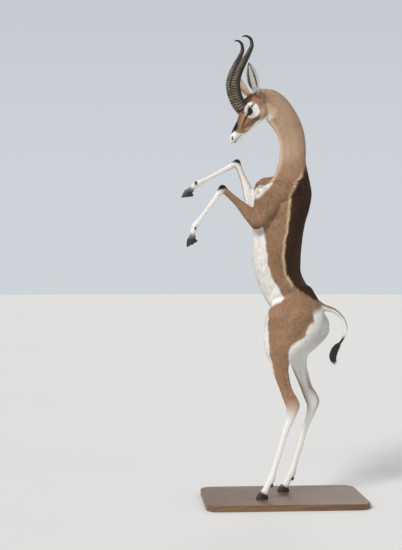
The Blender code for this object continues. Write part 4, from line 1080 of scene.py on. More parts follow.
def markBody(points, normals, part, reach, onHead, wave):
    x, y, z = points.T
    left = points[:, ::2]
    legs = part["hindl"] | part["hindr"] | part["forel"] | part["forer"]
    behind = beyondLine(left, markLines["saddle"]) + wave
    arch = y * y  # round the tail root, the edges sink towards the sides
    saddle = ease(behind, -0.004, 0.004) * ease(z - 5 * arch, 0.90, 0.96) * (1 - ease(z, 1.60, 1.68))
    saddle *= (part["trunk"] | part["tail"] | legs) & ~onHead & (x > -0.02)
    buff = ease(behind, -0.017, -0.012) * (1 - ease(behind, -0.006, -0.001)) * (1 - ease(z, 1.58, 1.64))
    buff *= ease(z, 1.00, 1.05) * (part["trunk"] | ((part["forel"] | part["forer"]) & (x > -0.01)))

    ahead = -beyondLine(left, markLines["belly"]) + wave
    belly = ease(ahead, -0.004, 0.005) * part["trunk"] * (1 - ease(z, 1.40, 1.46)) * ease(z, 0.80, 0.86)
    groin = (1 - ease(np.abs(y), 0.050, 0.075)) * (1 - ease(z, 0.98, 1.06)) * ~part["tail"]
    rump = ease(beyondLine(left, markLines["rump"]) + wave, -0.004, 0.005) * part["trunk"]
    chest = np.linalg.norm((points - (-0.112, 0.0, 1.518)) / (0.052, 0.066, 0.040), axis=1)
    blaze, along = lineDistance(left, markLines["blaze"])
    thin = markSizes["blaze"] * (1 - along)
    brisket = (1 - ease(np.abs(y) + wave, 0.026, 0.040)) * ease(z, 1.34, 1.38) * (1 - ease(z, 1.49, 1.52))
    foreWhite, dark = markForelegs(points, part, reach)
    white = np.maximum.reduce([
        belly, groin * (saddle < 0.5), rump * (1 - ease(z + 4 * arch, 0.950, 0.980)),
        1 - ease(chest + wave * 20, 0.9, 1.1), brisket * (x < -0.05) * part["trunk"],
        (1 - ease(blaze + wave, thin, thin + 0.005)) * (np.abs(y) < 0.11) * ease(1 - along, 0.0, 0.05),
        markHindLegs(points, part, wave), foreWhite,
    ])
    throat = -beyondLine(left, markLines["neckFront"])
    pale = np.maximum(ease(throat, -0.012, 0.014) * ease(z, 1.50, 1.60), 0.38 * ease(z, 1.56, 1.74))
    # painted shade: the back of the neck is darkened towards chestnut
    napeShade = markSizes["napeShade"] * ease(-throat, 0.04, 0.11) * ease(z, 1.60, 1.70)

    under = ease(-normals[:, 0] * 0.3 - normals[:, 2], -0.45, 0.05)
    white = np.where(part["tail"], under * (1 - ease(reach["tail"], 0.80, 0.9)), white)
    dark = np.maximum(dark, part["tail"] * ease(reach["tail"], 0.84, 0.92))
    for name, start, end in (("hind", 0.972, 0.995), ("fore", 0.955, 0.99)):  # just above the hooves
        for mark in "lr":
            rim = markSizes["hoofRim"] * ease(reach[name + mark], start, end)
            dark = np.maximum(dark, rim * part[name + mark])
    onNeck = part["trunk"] | part["head"]
    marks = {"saddle": saddle, "buff": buff, "white": white, "dark": dark}
    # the chestnut field carries the face's own chestnut marks and, on the neck, the painted shade
    return {**marks, "chestnut": napeShade * onNeck, "pale": pale * onNeck}


def markFace(marks, local, onHead, wave):
    x, y, z = local.T
    side = np.abs(y)
    behindEye = ease(eyePlace[0] - x, 0.016, 0.022) * (1 - ease(np.abs(z - 0.020), 0.003, 0.007))
    ring = 1 - ease(np.hypot(x - 0.110, z - 0.009) + wave * 0.5, 0.0345, 0.0390)
    ring *= ease(side, 0.020, 0.027) * (1 - 0.9 * behindEye)
    muzzle = ease(x + 0.8 * np.maximum(-z - 0.006, 0) + wave, 0.226, 0.240) * (1 - ease(z, 0.010, 0.018))
    chin = ease(-z - 0.30 * (0.16 - x) * ease(0.16 - x, 0, 0.06), 0.038, 0.046) * ease(x, 0.052, 0.085)
    chin *= ease(z, -0.096, -0.084)
    line = np.abs(z - np.interp(x, [0.136, 0.170, 0.202, 0.225], [0.012, 0.004, -0.006, -0.010]))
    streak = (1 - ease(line, 0.0026, 0.0052)) * ease(side, 0.012, 0.020)
    streak *= ease(x, 0.132, 0.138) * (1 - ease(x, 0.185, 0.215))
    middle = np.interp(x, [0.09, 0.125, 0.155, 0.205], [-0.040, -0.036, -0.029, -0.010])
    half = np.interp(x, [0.09, 0.125, 0.155, 0.205], [0.006, 0.010, 0.0135, 0.0035])
    cheek = (1 - ease(np.abs(z - middle) + wave * 0.4, half - 0.003, half + 0.003)) * ease(x, 0.085, 0.120)
    cheek *= (1 - ease(x, 0.200, 0.215)) * ease(side, 0.010, 0.018)
    # painted shade: a dark patch over the bridge of the nose
    bridgeShade = (1 - ease(np.hypot((x - 0.217) / 2.1, side * 0.72), 0.012, 0.016)) * ease(z, 0.002, 0.008)
    front = 0.62 * (1 - ease(side, 0.014, 0.024)) * ease(z, 0.0, 0.01)
    front *= ease(x, 0.135, 0.16) * (1 - ease(x, 0.20, 0.22))
    crown = ease(z, 0.034, 0.044) * (1 - ease(x, 0.150, 0.185)) * ease(x, 0.02, 0.05)
    nostrils, lips = openings(local)
    dark = np.maximum.reduce([
        bridgeShade, 1 - ease(nostrils, 0.0018, 0.0034), 0.94 * (1 - ease(lips, 0.0010, 0.0024)),
        1 - ease(lidRim(local), 1.05, 1.22), 0.85 * streak * (1 - ease(x, 0.150, 0.185)),
    ])
    chestnut = np.maximum.reduce([crown, cheek * 0.75, streak, front]) * (1 - ring)
    white = np.maximum.reduce([ring, muzzle, chin, ease(x, 0.262, 0.268)])
    marks["white"] = np.where(onHead, white * (1 - cheek * 0.85 * (1 - ring)) * (1 - streak), marks["white"])
    marks["dark"] = np.where(onHead, dark, marks["dark"])
    for name in ("saddle", "buff"):
        marks[name] = np.where(onHead, 0.0, marks[name])
    share = ease(x, 0.005, 0.050) * ease(z, -0.105, -0.085) * onHead
    marks["chestnut"] = chestnut * share + marks["chestnut"] * (1 - share)
    marks["pale"] = np.maximum(marks["pale"] * (1 - share), 0.75 * ease(-z, 0.005, 0.045) * share)


def markEars(marks, local, normals):  # white and streaked inside, fawn behind with a pale rim
    marks["inside"] = np.zeros(len(local))
    marks["earShare"] = np.zeros(len(local))
    shares, halves = [row[0] for row in earStations], [row[1] for row in earStations]
    for side in (1, -1):
        along, across, on = nearEar(local, side)
        spread = across / np.maximum(np.interp(along, shares, halves) * earSizes["width"], 0.004)
        inward = ease(normals @ unit(headTurn[:3, :3] @ np.array(earFrame(side)[2])), -0.10, 0.15)
        streaks = ease(np.sin(spread * 8.5), 0.35, 0.8) * ease(along, 0.12, 0.3)
        rim = ease(np.abs(spread), 0.80, 0.94)
        dark = np.maximum(inward * streaks * (1 - rim) * 0.9, 0.7 * ease(along, 0.90, 0.97))
        for name, values in (
            ("inside", inward), ("earShare", along), ("white", np.maximum(inward, rim * 0.6)),
            ("dark", dark), ("chestnut", 0.0),
        ):
            marks[name] = np.where(on, values, marks[name])


def markSkin(points, normals, where):
    names, choice, share = where[:3]
    part = {name: choice == k for k, name in enumerate(names)}
    reach = dict(zip(names, share))
    x, y, z = points.T
    wave = 0.0018 * (np.sin(z * 83 + y * 37) + np.sin(z * 197 - x * 61 + y * 20) * 0.6)
    local = toHead(points)
    onHead = part["head"] | ((local[:, 0] > 0.01) & (z > 1.86))
    marks = markBody(points, normals, part, reach, onHead, wave)
    markFace(marks, local, onHead, wave)
    markEars(marks, local, normals)
    for name in ("dark", "pale"):
        marks[name] = np.clip(marks[name], 0, 1)
    return marks


def hairOf(points, where, marks):  # length, lift, density and lie of the coat
    names, choice, share, _, lie = where
    part = {name: choice == k for k, name in enumerate(names)}
    reach = dict(zip(names, share))
    z = points[:, 2]
    local = toHead(points)
    rim = lidRim(local)
    length = np.where(part["tail"], hairLengths["tail"], hairLengths["head"])
    length = np.where(part["trunk"], np.interp(z, *hairLengths["trunk"]), length)
    hind = np.interp(z, *hairLengths["hind"])
    for mark in "lr":
        fore = np.interp(reach["fore" + mark], *hairLengths["fore"])
        length = np.where(part["hind" + mark], hind, np.where(part["fore" + mark], fore, length))
    nearNose, nearEye = 1 - 0.45 * ease(local[:, 0], 0.12, 0.24), 0.55 + 0.45 * ease(rim, 1.2, 3.0)
    length = np.where(part["head"], length * nearNose * nearEye, length)
    ear = marks["earShare"] > 0.05
    length = np.where(ear, 0.0050 + 0.0030 * marks["inside"], length)
    lift = np.interp(length, [0.004, 0.009, 0.016], [0.040, 0.060, 0.105])
    lift = np.where(ear, 0.07 + 0.03 * marks["inside"], lift)
    for joints in foreJoints.values():
        brush = 1 - ease(np.linalg.norm(points - np.array(joints[3]), axis=1), 0.028, 0.045)
        length *= 1 + 0.7 * brush * marks["dark"]
        lift = lift + 0.12 * brush * marks["dark"]
    grow = ease(rim, 1.12, 1.30)
    for foot in footMatrices().values():
        place, high = inFoot(points, foot)
        near = (np.linalg.norm(place, axis=1) < 0.10) & (high > -0.08)
        length = np.where(near, length + 0.0020 * (1 - ease(high, 0.003, 0.012)), length)
        grow = np.where(near, grow * ease(high, -0.001, 0.001), grow)
    nostrils, lips = openings(local)
    grow *= ease(nostrils, 0.0020, 0.0036) * ease(lips, 0.0012, 0.0024)
    lie = lie.copy()
    for side in (1, -1):  # the ears' hair runs towards their tips
        lie[ear & (side * local[:, 1] > 0)] = unit(headTurn[:3, :3] @ np.array(earFrame(side)[1]))
    return {"hair": length, "lift": lift, "density": grow / (coatSizes["spacing"] * length) ** 2}, lie


# The coat: tufts of hair set over the skin, each a flat, bent, tapered spike
coatSizes = {
    "piece": 0,  # set for each piece as it is grown
    "spacing": 0.32,  # between tufts, as a share of their length
    "width": 0.20,
    "thickness": 0.024,
    "bend": 4.4,
    "wander": 0.22,
    "seed": 11,
    "perPiece": 17600,
    "patch": 0.003,
    "soft": 0.80,
}
skinFields = ("saddle", "buff", "white", "dark", "chestnut", "pale", "inside")


def mapSkin(mesh, where, local, inside):  # an unwrap by part: round the limb and along it
    names, choice, share, angle, _ = where
    corners = gather(mesh.loops, "vertex_index", kind=int)
    starts, sizes = (gather(mesh.polygons, name, kind=int) for name in ("loop_start", "loop_total"))
    first = corners[np.repeat(starts, sizes)]
    partOf = choice[first]
    u, v = angle[partOf, corners], share[partOf, corners]
    u = u - np.round(u - angle[partOf, first])  # no face straddles the seam
    tile = np.array([tiles[name] for name in names])[partOf]
    spot = tile[:, 0:2] + tile[:, 2:4] * np.stack([np.clip(u, -0.05, 1.05), v], axis=1)
    for side, name in ((1, "earl"), (-1, "earr")):
        along, across, on = nearEar(local, side)
        ours = on[first]
        aside = np.clip(across / (earSizes["width"] * 1.2) + 0.5, 0, 1)
        aside = 0.5 * aside[corners] + 0.5 * (inside[corners] > 0.5)
        left, low, wide, tall = tiles[name]
        leaf = np.stack([left + wide * aside, low + tall * np.clip(along[corners], 0, 1)], axis=1)
        spot[ours] = leaf[ours]
    return spot


def shareOut(mesh, density):  # numbers the faces so that each coat piece gets about as many tufts
    starts = gather(mesh.polygons, "loop_start", kind=int)
    expected = gather(mesh.polygons, "area") * density[gather(mesh.loops, "vertex_index", kind=int)[starts]]
    order = np.argsort(faceCentres(mesh)[:, 2])
    pieces = math.ceil(expected.sum() / coatSizes["perPiece"])
    number = np.empty(len(starts), int)
    number[order] = np.minimum(np.cumsum(expected[order]) / expected.sum() * pieces, pieces - 1).astype(int)
    return number, pieces


def newTree(name, sizes, *chosen):  # its inputs are a mesh, the chosen sizes and the finish
    tree = bpy.data.node_groups.new(name, "GeometryNodeTree")
    tree.interface.new_socket("Geometry", in_out="OUTPUT", socket_type="NodeSocketGeometry")
    tree.interface.new_socket("Geometry", in_out="INPUT", socket_type="NodeSocketGeometry")
    for label in chosen:
        kind = "NodeSocketInt" if isinstance(sizes[label], int) else "NodeSocketFloat"
        socket = tree.interface.new_socket(label.capitalize(), in_out="INPUT", socket_type=kind)
        socket.default_value = sizes[label]
    tree.interface.new_socket("Material", in_out="INPUT", socket_type="NodeSocketMaterial")
    maker = Maker(tree)
    given = maker.node("NodeGroupInput")
    return tree, maker, lambda label: maker.out(given, label)


def closeTree(tree, maker, geometry, material):
    done = maker.node("GeometryNodeSetMaterial", Geometry=geometry, Material=material)
    tree.links.new(maker.out(done).socket, maker.node("NodeGroupOutput").inputs[0])
    return tree


def coatTree():
    tree, maker, given = newTree("coat", coatSizes, "piece", "width", "thickness", "bend", "wander", "seed")
    stored, field, vector, scaled = maker.stored, maker.field, maker.vector, maker.scaled

    def chance(low, high, shift):
        seed = given("Seed") + shift
        made = maker.node("FunctionNodeRandomValue", {"data_type": "FLOAT"}, Min=low, Max=high, Seed=seed)
        return maker.out(made, "Value")

    # one tuft: a three-sided spike with a ridge along its outer face, bending back to the body
    spike = maker.node(
        "GeometryNodeMeshCone", Vertices=3, Side_Segments=2, Radius_Top=0.0, Radius_Bottom=0.5, Depth=1.0,
    )
    quarter = (0, 0, math.pi / 2)
    turned = maker.node("GeometryNodeTransform", Geometry=maker.out(spike, "Mesh"), Rotation=quarter)
    parts = maker.node("ShaderNodeSeparateXYZ", Vector=maker.wire("GeometryNodeInputPosition"))
    px, py, pz = (maker.out(parts, axis) for axis in "XYZ")
    fuller = px * (1 + 2.2 * pz * (1 - pz))
    bent = py - given("Bend") * pz * pz - 0.3
    shape = maker.combined(fuller, bent, pz)
    tuft = maker.wire("GeometryNodeSetPosition", Geometry=maker.out(turned), Position=shape)
    tuft = stored(tuft, "tip", pz)
    tuft = stored(tuft, "patch", scaled(maker.combined(px + 0.5, pz), coatSizes["patch"]), "FLOAT_VECTOR")

    # where the tufts stand, and how they lie
    same = {"data_type": "INT", "operation": "EQUAL"}
    chosen = maker.node("FunctionNodeCompare", same, A=field("piece", "INT"), B=given("Piece"))
    spread = maker.node(
        "GeometryNodeDistributePointsOnFaces", Mesh=given("Geometry"), Selection=maker.out(chosen),
        Density=field("density"), Seed=given("Seed"),
    )
    normal, lie = maker.out(spread, "Normal"), field("lie", "FLOAT_VECTOR")
    flat = vector("NORMALIZE", vector("SUBTRACT", lie, scaled(normal, vector("DOT_PRODUCT", lie, normal))))
    drift = scaled(vector("CROSS_PRODUCT", normal, flat), given("Wander") * chance(-1.0, 1.0, 1))
    rise = scaled(normal, field("lift") * chance(0.6, 1.3, 2))
    way = vector("ADD", vector("ADD", flat, drift), rise)
    turn = maker.wire("FunctionNodeAlignRotationToVector", {"axis": "Z"}, Vector=way)
    rolling = {"axis": "Y", "pivot_axis": "Z"}
    turn = maker.wire("FunctionNodeAlignRotationToVector", rolling, Rotation=turn, Vector=normal)
    length = field("hair") * chance(0.75, 1.2, 3)
    size = maker.combined(length * given("Width") * chance(0.8, 1.3, 4), length * given("Thickness"), length)
    toned = stored(maker.out(spread, "Points"), "tone", chance(0.0, 1.0, 5))
    standing = {"Points": toned, "Instance": tuft, "Rotation": turn, "Scale": size}
    planted = maker.wire("GeometryNodeInstanceOnPoints", **standing)
    real = maker.wire("GeometryNodeRealizeInstances", Geometry=planted)
    spot = vector("ADD", field("coatMap", "FLOAT_VECTOR"), field("patch", "FLOAT_VECTOR"))
    return closeTree(tree, maker, stored(real, "OFBake", spot, "FLOAT2", "CORNER"), given("Material"))


def grown(name, base, tree, values):  # what a node tree makes of a mesh, as a plain object
    obj = bpy.data.objects.new(name, base)
    bpy.context.scene.collection.objects.link(obj)
    modifier = obj.modifiers.new("Nodes", "NODES")
    modifier.node_group = tree
    for item in tree.interface.items_tree:
        if item.in_out == "INPUT" and item.name in values:
            modifier[item.identifier] = values[item.name]
    graph = bpy.context.evaluated_depsgraph_get()
    mesh = bpy.data.meshes.new_from_object(
        obj.evaluated_get(graph), preserve_all_data_layers=True, depsgraph=graph,
    )
    obj.modifiers.clear()
    obj.data = mesh
    return obj


# Colours and finishes. Skin and tufts take the same markings from the same fields
furColours = {
    "flank": (0.270, 0.148, 0.083),
    "flankLight": (0.420, 0.258, 0.157),
    "saddle": (0.032, 0.0145, 0.0075),
    "saddleLight": (0.068, 0.0320, 0.0165),
    "buff": (0.68, 0.50, 0.33),
    "pale": (0.72, 0.55, 0.40),
    "white": (0.85, 0.82, 0.77),
    "dark": (0.0090, 0.0075, 0.0070),
    "chestnut": (0.110, 0.040, 0.018),
    "innerEar": (0.62, 0.47, 0.41),
}


def furColour(maker):
    place = maker.stretched((1, 1, 1))
    patches = maker.noise(place, 7.0, 3.0, 0.6).ease(0.32, 0.70)
    flecks = maker.noise(place, 170.0, 2.0, 0.6).ease(0.35, 0.70)
    speckle = (patches * 0.55 + flecks * 0.45).clamp()
    colour = maker.mix(speckle, furColours["flank"], furColours["flankLight"])
    colour = maker.mix(maker.read("pale") * 0.82, colour, furColours["pale"])
    specks = maker.noise(place, 460.0, 1.0, 0.5).ease(0.60, 0.72) * 0.20
    colour = maker.mix(specks, colour, furColours["saddle"])
    saddle = maker.mix(speckle, furColours["saddle"], furColours["saddleLight"])
    colour = maker.mix(maker.read("saddle"), colour, saddle)
    colour = maker.mix(maker.read("buff") * 0.85, colour, furColours["buff"])
    # chestnut: the face's own chestnut marks, and the painted shade down the back of the neck
    colour = maker.mix(maker.read("chestnut"), colour, furColours["chestnut"])
    white = maker.mix(maker.read("inside") * 0.10, furColours["white"], furColours["innerEar"])
    colour = maker.mix(maker.read("white"), colour, white)
    return maker.mix(maker.read("dark"), colour, furColours["dark"])


def shaded(maker, colour, amount):  # multiplies a colour by a number
    grey = maker.node("ShaderNodeCombineColor", Red=amount, Green=amount, Blue=amount)
    return maker.mix(1.0, colour, maker.out(grey), "MULTIPLY")


def skinMaterial():
    maker = Finish("coatSkin", sheen=0.05, specular=0.14)
    uv = maker.wire("ShaderNodeUVMap", {"uv_map": "coatMap"})
    hairs = maker.wire("ShaderNodeMapping", Vector=uv, Scale=(900, 150, 1))
    strands = maker.noise(hairs, 1.0, 4.0, 0.6)
    colour = shaded(maker, furColour(maker), 0.80 + strands * 0.30)
    return maker.done(colour, 0.70 + strands * 0.22, strands, 0.5, 0.0012)


def hairMaterial():
    maker = Finish("coatHair", sheen=0.05, specular=0.14)
    tip, white = maker.read("tip"), maker.read("white")
    # painted shade: each tuft is darker towards its root, less so in white hair; the paler tip is the hair's
    # own ticking, and the tone varies at random
    rootShadeAndTone = 0.74 + white * 0.14 + tip * (0.34 - white * 0.18)
    rootShadeAndTone = rootShadeAndTone + (maker.read("tone") - 0.5) * (0.28 - white * 0.18)
    # each tuft takes much of its shading from the skin under it, so the coat reads as soft
    own = maker.scaled(maker.wire("ShaderNodeNewGeometry", output="Normal"), 1 - coatSizes["soft"])
    under = maker.scaled(maker.read("ground", "Vector"), coatSizes["soft"])
    maker.put(maker.shader, "Normal", maker.vector("NORMALIZE", maker.vector("ADD", own, under)))
    return maker.done(shaded(maker, furColour(maker), rootShadeAndTone), 0.60 + (1 - tip) * 0.25)


def tuftMaterial():
    maker = Finish("tuftHair", sheen=0.2, specular=0.4)
    strands = maker.noise(maker.stretched((900, 900, 90)), 1.0, 3.0, 0.6)
    lighter = (strands * 0.5 + maker.read("tip") * 0.5).clamp()
    colour = maker.mix(lighter, (0.006, 0.005, 0.0045), (0.026, 0.019, 0.015))
    colour = shaded(maker, colour, 0.75 + maker.read("tone") * 0.6)
    return maker.done(colour, 0.45 + strands * 0.25, strands, 0.5, 0.0008)


def hornMaterial():
    maker = Finish("hornKeratin")
    share, ridge, facing = maker.read("share"), maker.read("ridge"), maker.read("facing")
    fibres = maker.noise(maker.stretched((420, 420, 60)), 1.0, 4.0, 0.6)
    smudge = maker.noise(maker.stretched((1, 1, 1)), 38.0, 3.0, 0.6)
    # pale ring crests: partly wear, partly a painted highlight that is strongest on the horn's front
    wornAndHighlit = (ridge * smudge.ease(0.25, 0.62) * facing.ease(-0.35, 0.75)).clamp()
    colour = maker.mix(fibres.ease(0.3, 0.75), (0.0075, 0.0058, 0.0048), (0.023, 0.0172, 0.013))
    colour = maker.mix(wornAndHighlit * 0.62 * (1 - share.ease(0.55, 0.72)), colour, (0.34, 0.265, 0.175))
    colour = maker.mix(share.ease(0.70, 1.0) * 0.6, colour, (0.008, 0.0065, 0.006))
    roughness = 0.50 - share.ease(0.5, 0.9) * 0.20 + fibres * 0.15
    return maker.done(colour, roughness, fibres + wornAndHighlit * 0.4, 0.35, 0.0008)


def hoofMaterial():
    maker = Finish("hoofHorn")
    level = maker.read("level")
    growth = maker.noise(maker.combined(level * 14.0), 1.0, 3.0, 0.6)
    fibres = maker.noise(maker.stretched((500, 500, 60)), 1.0, 2.0, 0.5)
    lighter = (growth * 0.6 + fibres * 0.4).ease(0.3, 0.8)
    colour = maker.mix(lighter, (0.0085, 0.0072, 0.0065), (0.030, 0.024, 0.020))
    colour = maker.mix((1 - level).ease(0.80, 1.0) * 0.5, colour, (0.11, 0.088, 0.066))
    return maker.done(colour, 0.34 + growth * 0.22, growth * 0.7 + fibres * 0.3, 0.3, 0.0005)


def eyeMaterial():
    maker = Finish("eyeBall", coat=0.55, specular=0.15)
    off, pupil = maker.read("off"), maker.read("pupil")
    rays = maker.noise(maker.stretched((260, 260, 260)), 1.0, 3.0, 0.6)
    colour = maker.mix(rays.ease(0.3, 0.7), (0.0080, 0.0034, 0.0016), (0.026, 0.0105, 0.0042))
    colour = maker.mix(off.ease(0.62, 0.86), colour, (0.006, 0.004, 0.003))
    colour = maker.mix(off.ease(0.92, 1.10), colour, (0.030, 0.022, 0.018))
    colour = maker.mix(1 - pupil.ease(0.85, 1.05), colour, (0.002, 0.002, 0.003))
    return maker.done(colour, 0.12 + rays * 0.06)


def lidMaterial():
    maker = Finish("lidSkin")
    grain = maker.noise(maker.stretched((1, 1, 1)), 900.0, 3.0, 0.6)
    colour = maker.mix(grain, (0.010, 0.007, 0.006), (0.040, 0.026, 0.020))
    return maker.done(colour, 0.32 + grain * 0.25, grain, 0.4, 0.0004)


def woodMaterial():
    maker = Finish("standOak", specular=0.45)
    place = maker.stretched((1.2, 9.0, 9.0))
    bend = maker.noise(place, 1.6, 3.0, 0.55, Distortion=0.6)
    grain = maker.wire(
        "ShaderNodeTexWave", {"wave_type": "BANDS", "bands_direction": "Y"}, Vector=place, Scale=2.4,
        Distortion=7.0, Detail=3.0, Detail_Scale=1.4, Detail_Roughness=0.6, output="Fac",
    )
    pores = maker.noise(maker.stretched((22, 520, 520)), 1.0, 3.0, 0.7).ease(0.52, 0.72)
    tone = (grain * 0.6 + bend * 0.4).clamp()
    colour = maker.mix(tone, (0.105, 0.052, 0.026), (0.215, 0.120, 0.062))
    colour = maker.mix(pores * 0.6, colour, (0.050, 0.024, 0.012))
    return maker.done(colour, 0.34 + pores * 0.28 + tone * 0.06, tone * 0.4 - pores * 0.5, 0.35, 0.0006)


def floorMaterial():
    maker = Finish("floorPale", specular=0.2)
    cloud = maker.noise(maker.stretched((1, 1, 1)), 1.1, 2.0, 0.5)
    return maker.done(maker.mix(cloud, (0.735, 0.725, 0.705), (0.765, 0.755, 0.735)), 0.75 + cloud * 0.15)


# Horns: the rings are worked out along the curve by a node tree
hornSizes = {
    "radius": 0.0225,
    "rings": 23.0,
    "ridge": 0.0029,
    "root": 0.045,
    "ringed": 0.68,
    "flat": 0.84,
    "length": 420,
    "sides": 56,
}
hornCurve = [  # in the head's frame, left side
    (0.122, 0.0235, 0.026), (0.114, 0.026, 0.066), (0.090, 0.032, 0.113), (0.058, 0.041, 0.146),
    (0.014, 0.051, 0.166), (-0.036, 0.059, 0.177), (-0.087, 0.063, 0.185), (-0.125, 0.063, 0.196),
    (-0.144, 0.060, 0.219), (-0.141, 0.056, 0.241), (-0.127, 0.053, 0.254),
]


def hornLine(side):  # the horn's axis, with a broad and a deep direction at each point
    rows = [(x, side * y, z, x, side * y, z, 0.0, 0.0) for x, y, z in hornCurve]
    length = sum((Vector(a) - Vector(b)).length for a, b in zip(hornCurve, hornCurve[1:]))
    centres = smoothRows(rows, length / hornSizes["length"])[:, 0:3]
    ways = unit(np.gradient(centres, axis=0))
    broad = unit(np.array((0.0, side, 0.0)) - ways * (ways[:, 1:2] * side))
    deep = np.cross(ways, broad) * side
    mesh = bpy.data.meshes.new("hornLine")
    edges = [(k, k + 1) for k in range(len(centres) - 1)]
    mesh.from_pydata([tuple(p) for p in fromHead(centres)], edges, [])
    turn = headTurn[:3, :3]
    storeField(mesh, "broad", broad @ turn.T, "FLOAT_VECTOR")
    storeField(mesh, "deep", deep @ turn.T, "FLOAT_VECTOR")
    storeField(mesh, "share", np.linspace(0, 1, len(centres)))
    storeField(mesh, "axis", coordinates(mesh), "FLOAT_VECTOR")
    return mesh


def hornTree():
    chosen = ("radius", "rings", "ridge", "root", "ringed", "flat", "sides")
    tree, maker, given = newTree("horn", hornSizes, *chosen)
    stored, field, vector, scaled = maker.stored, maker.field, maker.vector, maker.scaled
    curve = maker.wire("GeometryNodeMeshToCurve", Mesh=given("Geometry"))
    circle = maker.node("GeometryNodeCurvePrimitiveCircle", Resolution=given("Sides"), Radius=0.001)
    factor = maker.wire("GeometryNodeSplineParameter", output="Factor")
    circle = stored(maker.out(circle, "Curve"), "around", factor)
    tube = maker.node("GeometryNodeCurveToMesh", Curve=curve, Profile_Curve=circle, Fill_Caps=True)
    # the profile is tiny; the rule then sets each point's real place round the axis
    share, turn = field("share"), field("around") * (2 * math.pi)
    phase = ((share - given("Root")) / (given("Ringed") - given("Root"))).clamp() ** 1.06 * given("Rings")
    wave = phase.maths("FRACT")
    tooth = wave.ease(0.0, 0.62) * (1 - wave.ease(0.74, 1.0))
    inside = share.ease(0.035, 0.06) * (1 - share.ease(0.62, 0.70))
    ridge = tooth * inside
    cosine, sine = turn.maths("COSINE"), turn.maths("SINE")
    plain = given("Radius") * ((1 - share ** 1.35) ** 0.62) * (1 - 0.16 * share) + 0.0012
    plain = plain * (0.74 + 0.26 * share.ease(0.0, 0.045))
    swell = ridge * given("Ridge") * (1 - 0.55 * share / given("Ringed")) * (0.75 - 0.25 * cosine)
    grain = maker.noise(maker.wire("GeometryNodeInputPosition"), 160.0, 3.0, 0.6)
    rough = (grain - 0.5) * 0.0012 * (1 - share.ease(0.7, 0.95))
    broadway = scaled(field("broad", "FLOAT_VECTOR"), ((plain * given("Flat")) + swell + rough) * sine)
    deepway = scaled(field("deep", "FLOAT_VECTOR"), (plain + swell + rough) * cosine)
    spot = vector("ADD", field("axis", "FLOAT_VECTOR"), vector("ADD", broadway, deepway))
    shaped = maker.wire("GeometryNodeSetPosition", Geometry=maker.out(tube), Position=spot)
    # facing is 1 on the horn's front, where the material puts its painted highlight
    shaped = stored(stored(shaped, "ridge", ridge), "facing", 0 - cosine)
    real = maker.wire("GeometryNodeRealizeInstances", Geometry=shaped)
    return closeTree(tree, maker, real, given("Material"))


def makeHorns(material):
    tree = hornTree()
    for side, mark in ((1, "l"), (-1, "r")):
        horn = grown("horn." + mark, hornLine(side), tree, {"Material": material})
        shape = bmesh.new()
        shape.from_mesh(horn.data)
        bmesh.ops.recalc_face_normals(shape, faces=shape.faces)
        shape.to_mesh(horn.data)
        shape.free()
        finishPiece(horn, "horn_ringed", "horn_" + mark)


# Eyes and lids
eyeSizes = {
    "segments": 56,
    "rings": 40,
    "pupilLong": 0.44,
    "pupilTall": 0.22,
    "lid": 0.0014,
    "upperLid": 0.0019,
    "lidPoints": 72,
    "lidSides": 10,
    "lashes": 26,
    "lashLength": 0.0085,
    "lashThick": 0.00042,
    "lashDroop": 0.0016,
}


def makeEye(side, mark, material):
    shape = bmesh.new()
    centre = Vector((eyePlace[0], side * eyePlace[1], eyePlace[2]))
    placed = Matrix.Translation(centre) @ Matrix.Rotation(-side * math.pi / 2, 4, "X")
    radius, segments, rings = headSizes["eyeRadius"], eyeSizes["segments"], eyeSizes["rings"]
    bmesh.ops.create_uvsphere(shape, u_segments=segments, v_segments=rings, radius=radius, matrix=placed)
    eye = meshObject("eye." + mark, shape)
    offset = (coordinates(eye.data) - eyePlace * (1, side, 1)) / radius
    tilt = math.radians(face["lidTilt"])
    long = offset[:, 0] * math.cos(tilt) + offset[:, 2] * math.sin(tilt)
    tall = -offset[:, 0] * math.sin(tilt) + offset[:, 2] * math.cos(tilt)
    ahead = side * offset[:, 1] > 0
    storeField(eye.data, "off", np.where(ahead, np.hypot(long, tall), 1.5))
    pupil = np.hypot(long / eyeSizes["pupilLong"], tall / eyeSizes["pupilTall"])
    storeField(eye.data, "pupil", np.where(ahead, pupil, 9.0))
    eye.data.transform(headPlace)
    finishPiece(eye, "eye_dark", "eye_" + mark, material=material)


def rimPoint(side, k, count, grow, proud):  # a point round the opening between the lids, on the eyeball
    a = 2 * math.pi * k / count
    tilt = math.radians(face["lidTilt"])
    long = grow * face["lidLong"] * math.cos(a)
    tall = grow * face["lidTall"] * math.sin(a) * (1 - face["lidPinch"] * math.cos(a) ** 2)
    ahead = long * math.cos(tilt) - tall * math.sin(tilt)
    up = long * math.sin(tilt) + tall * math.cos(tilt)
    depth = math.sqrt(max((headSizes["eyeRadius"] + proud) ** 2 - ahead**2 - up**2, 0.0))
    return Vector((eyePlace[0] + ahead, side * (eyePlace[1] + depth), eyePlace[2] + up)), math.sin(a)


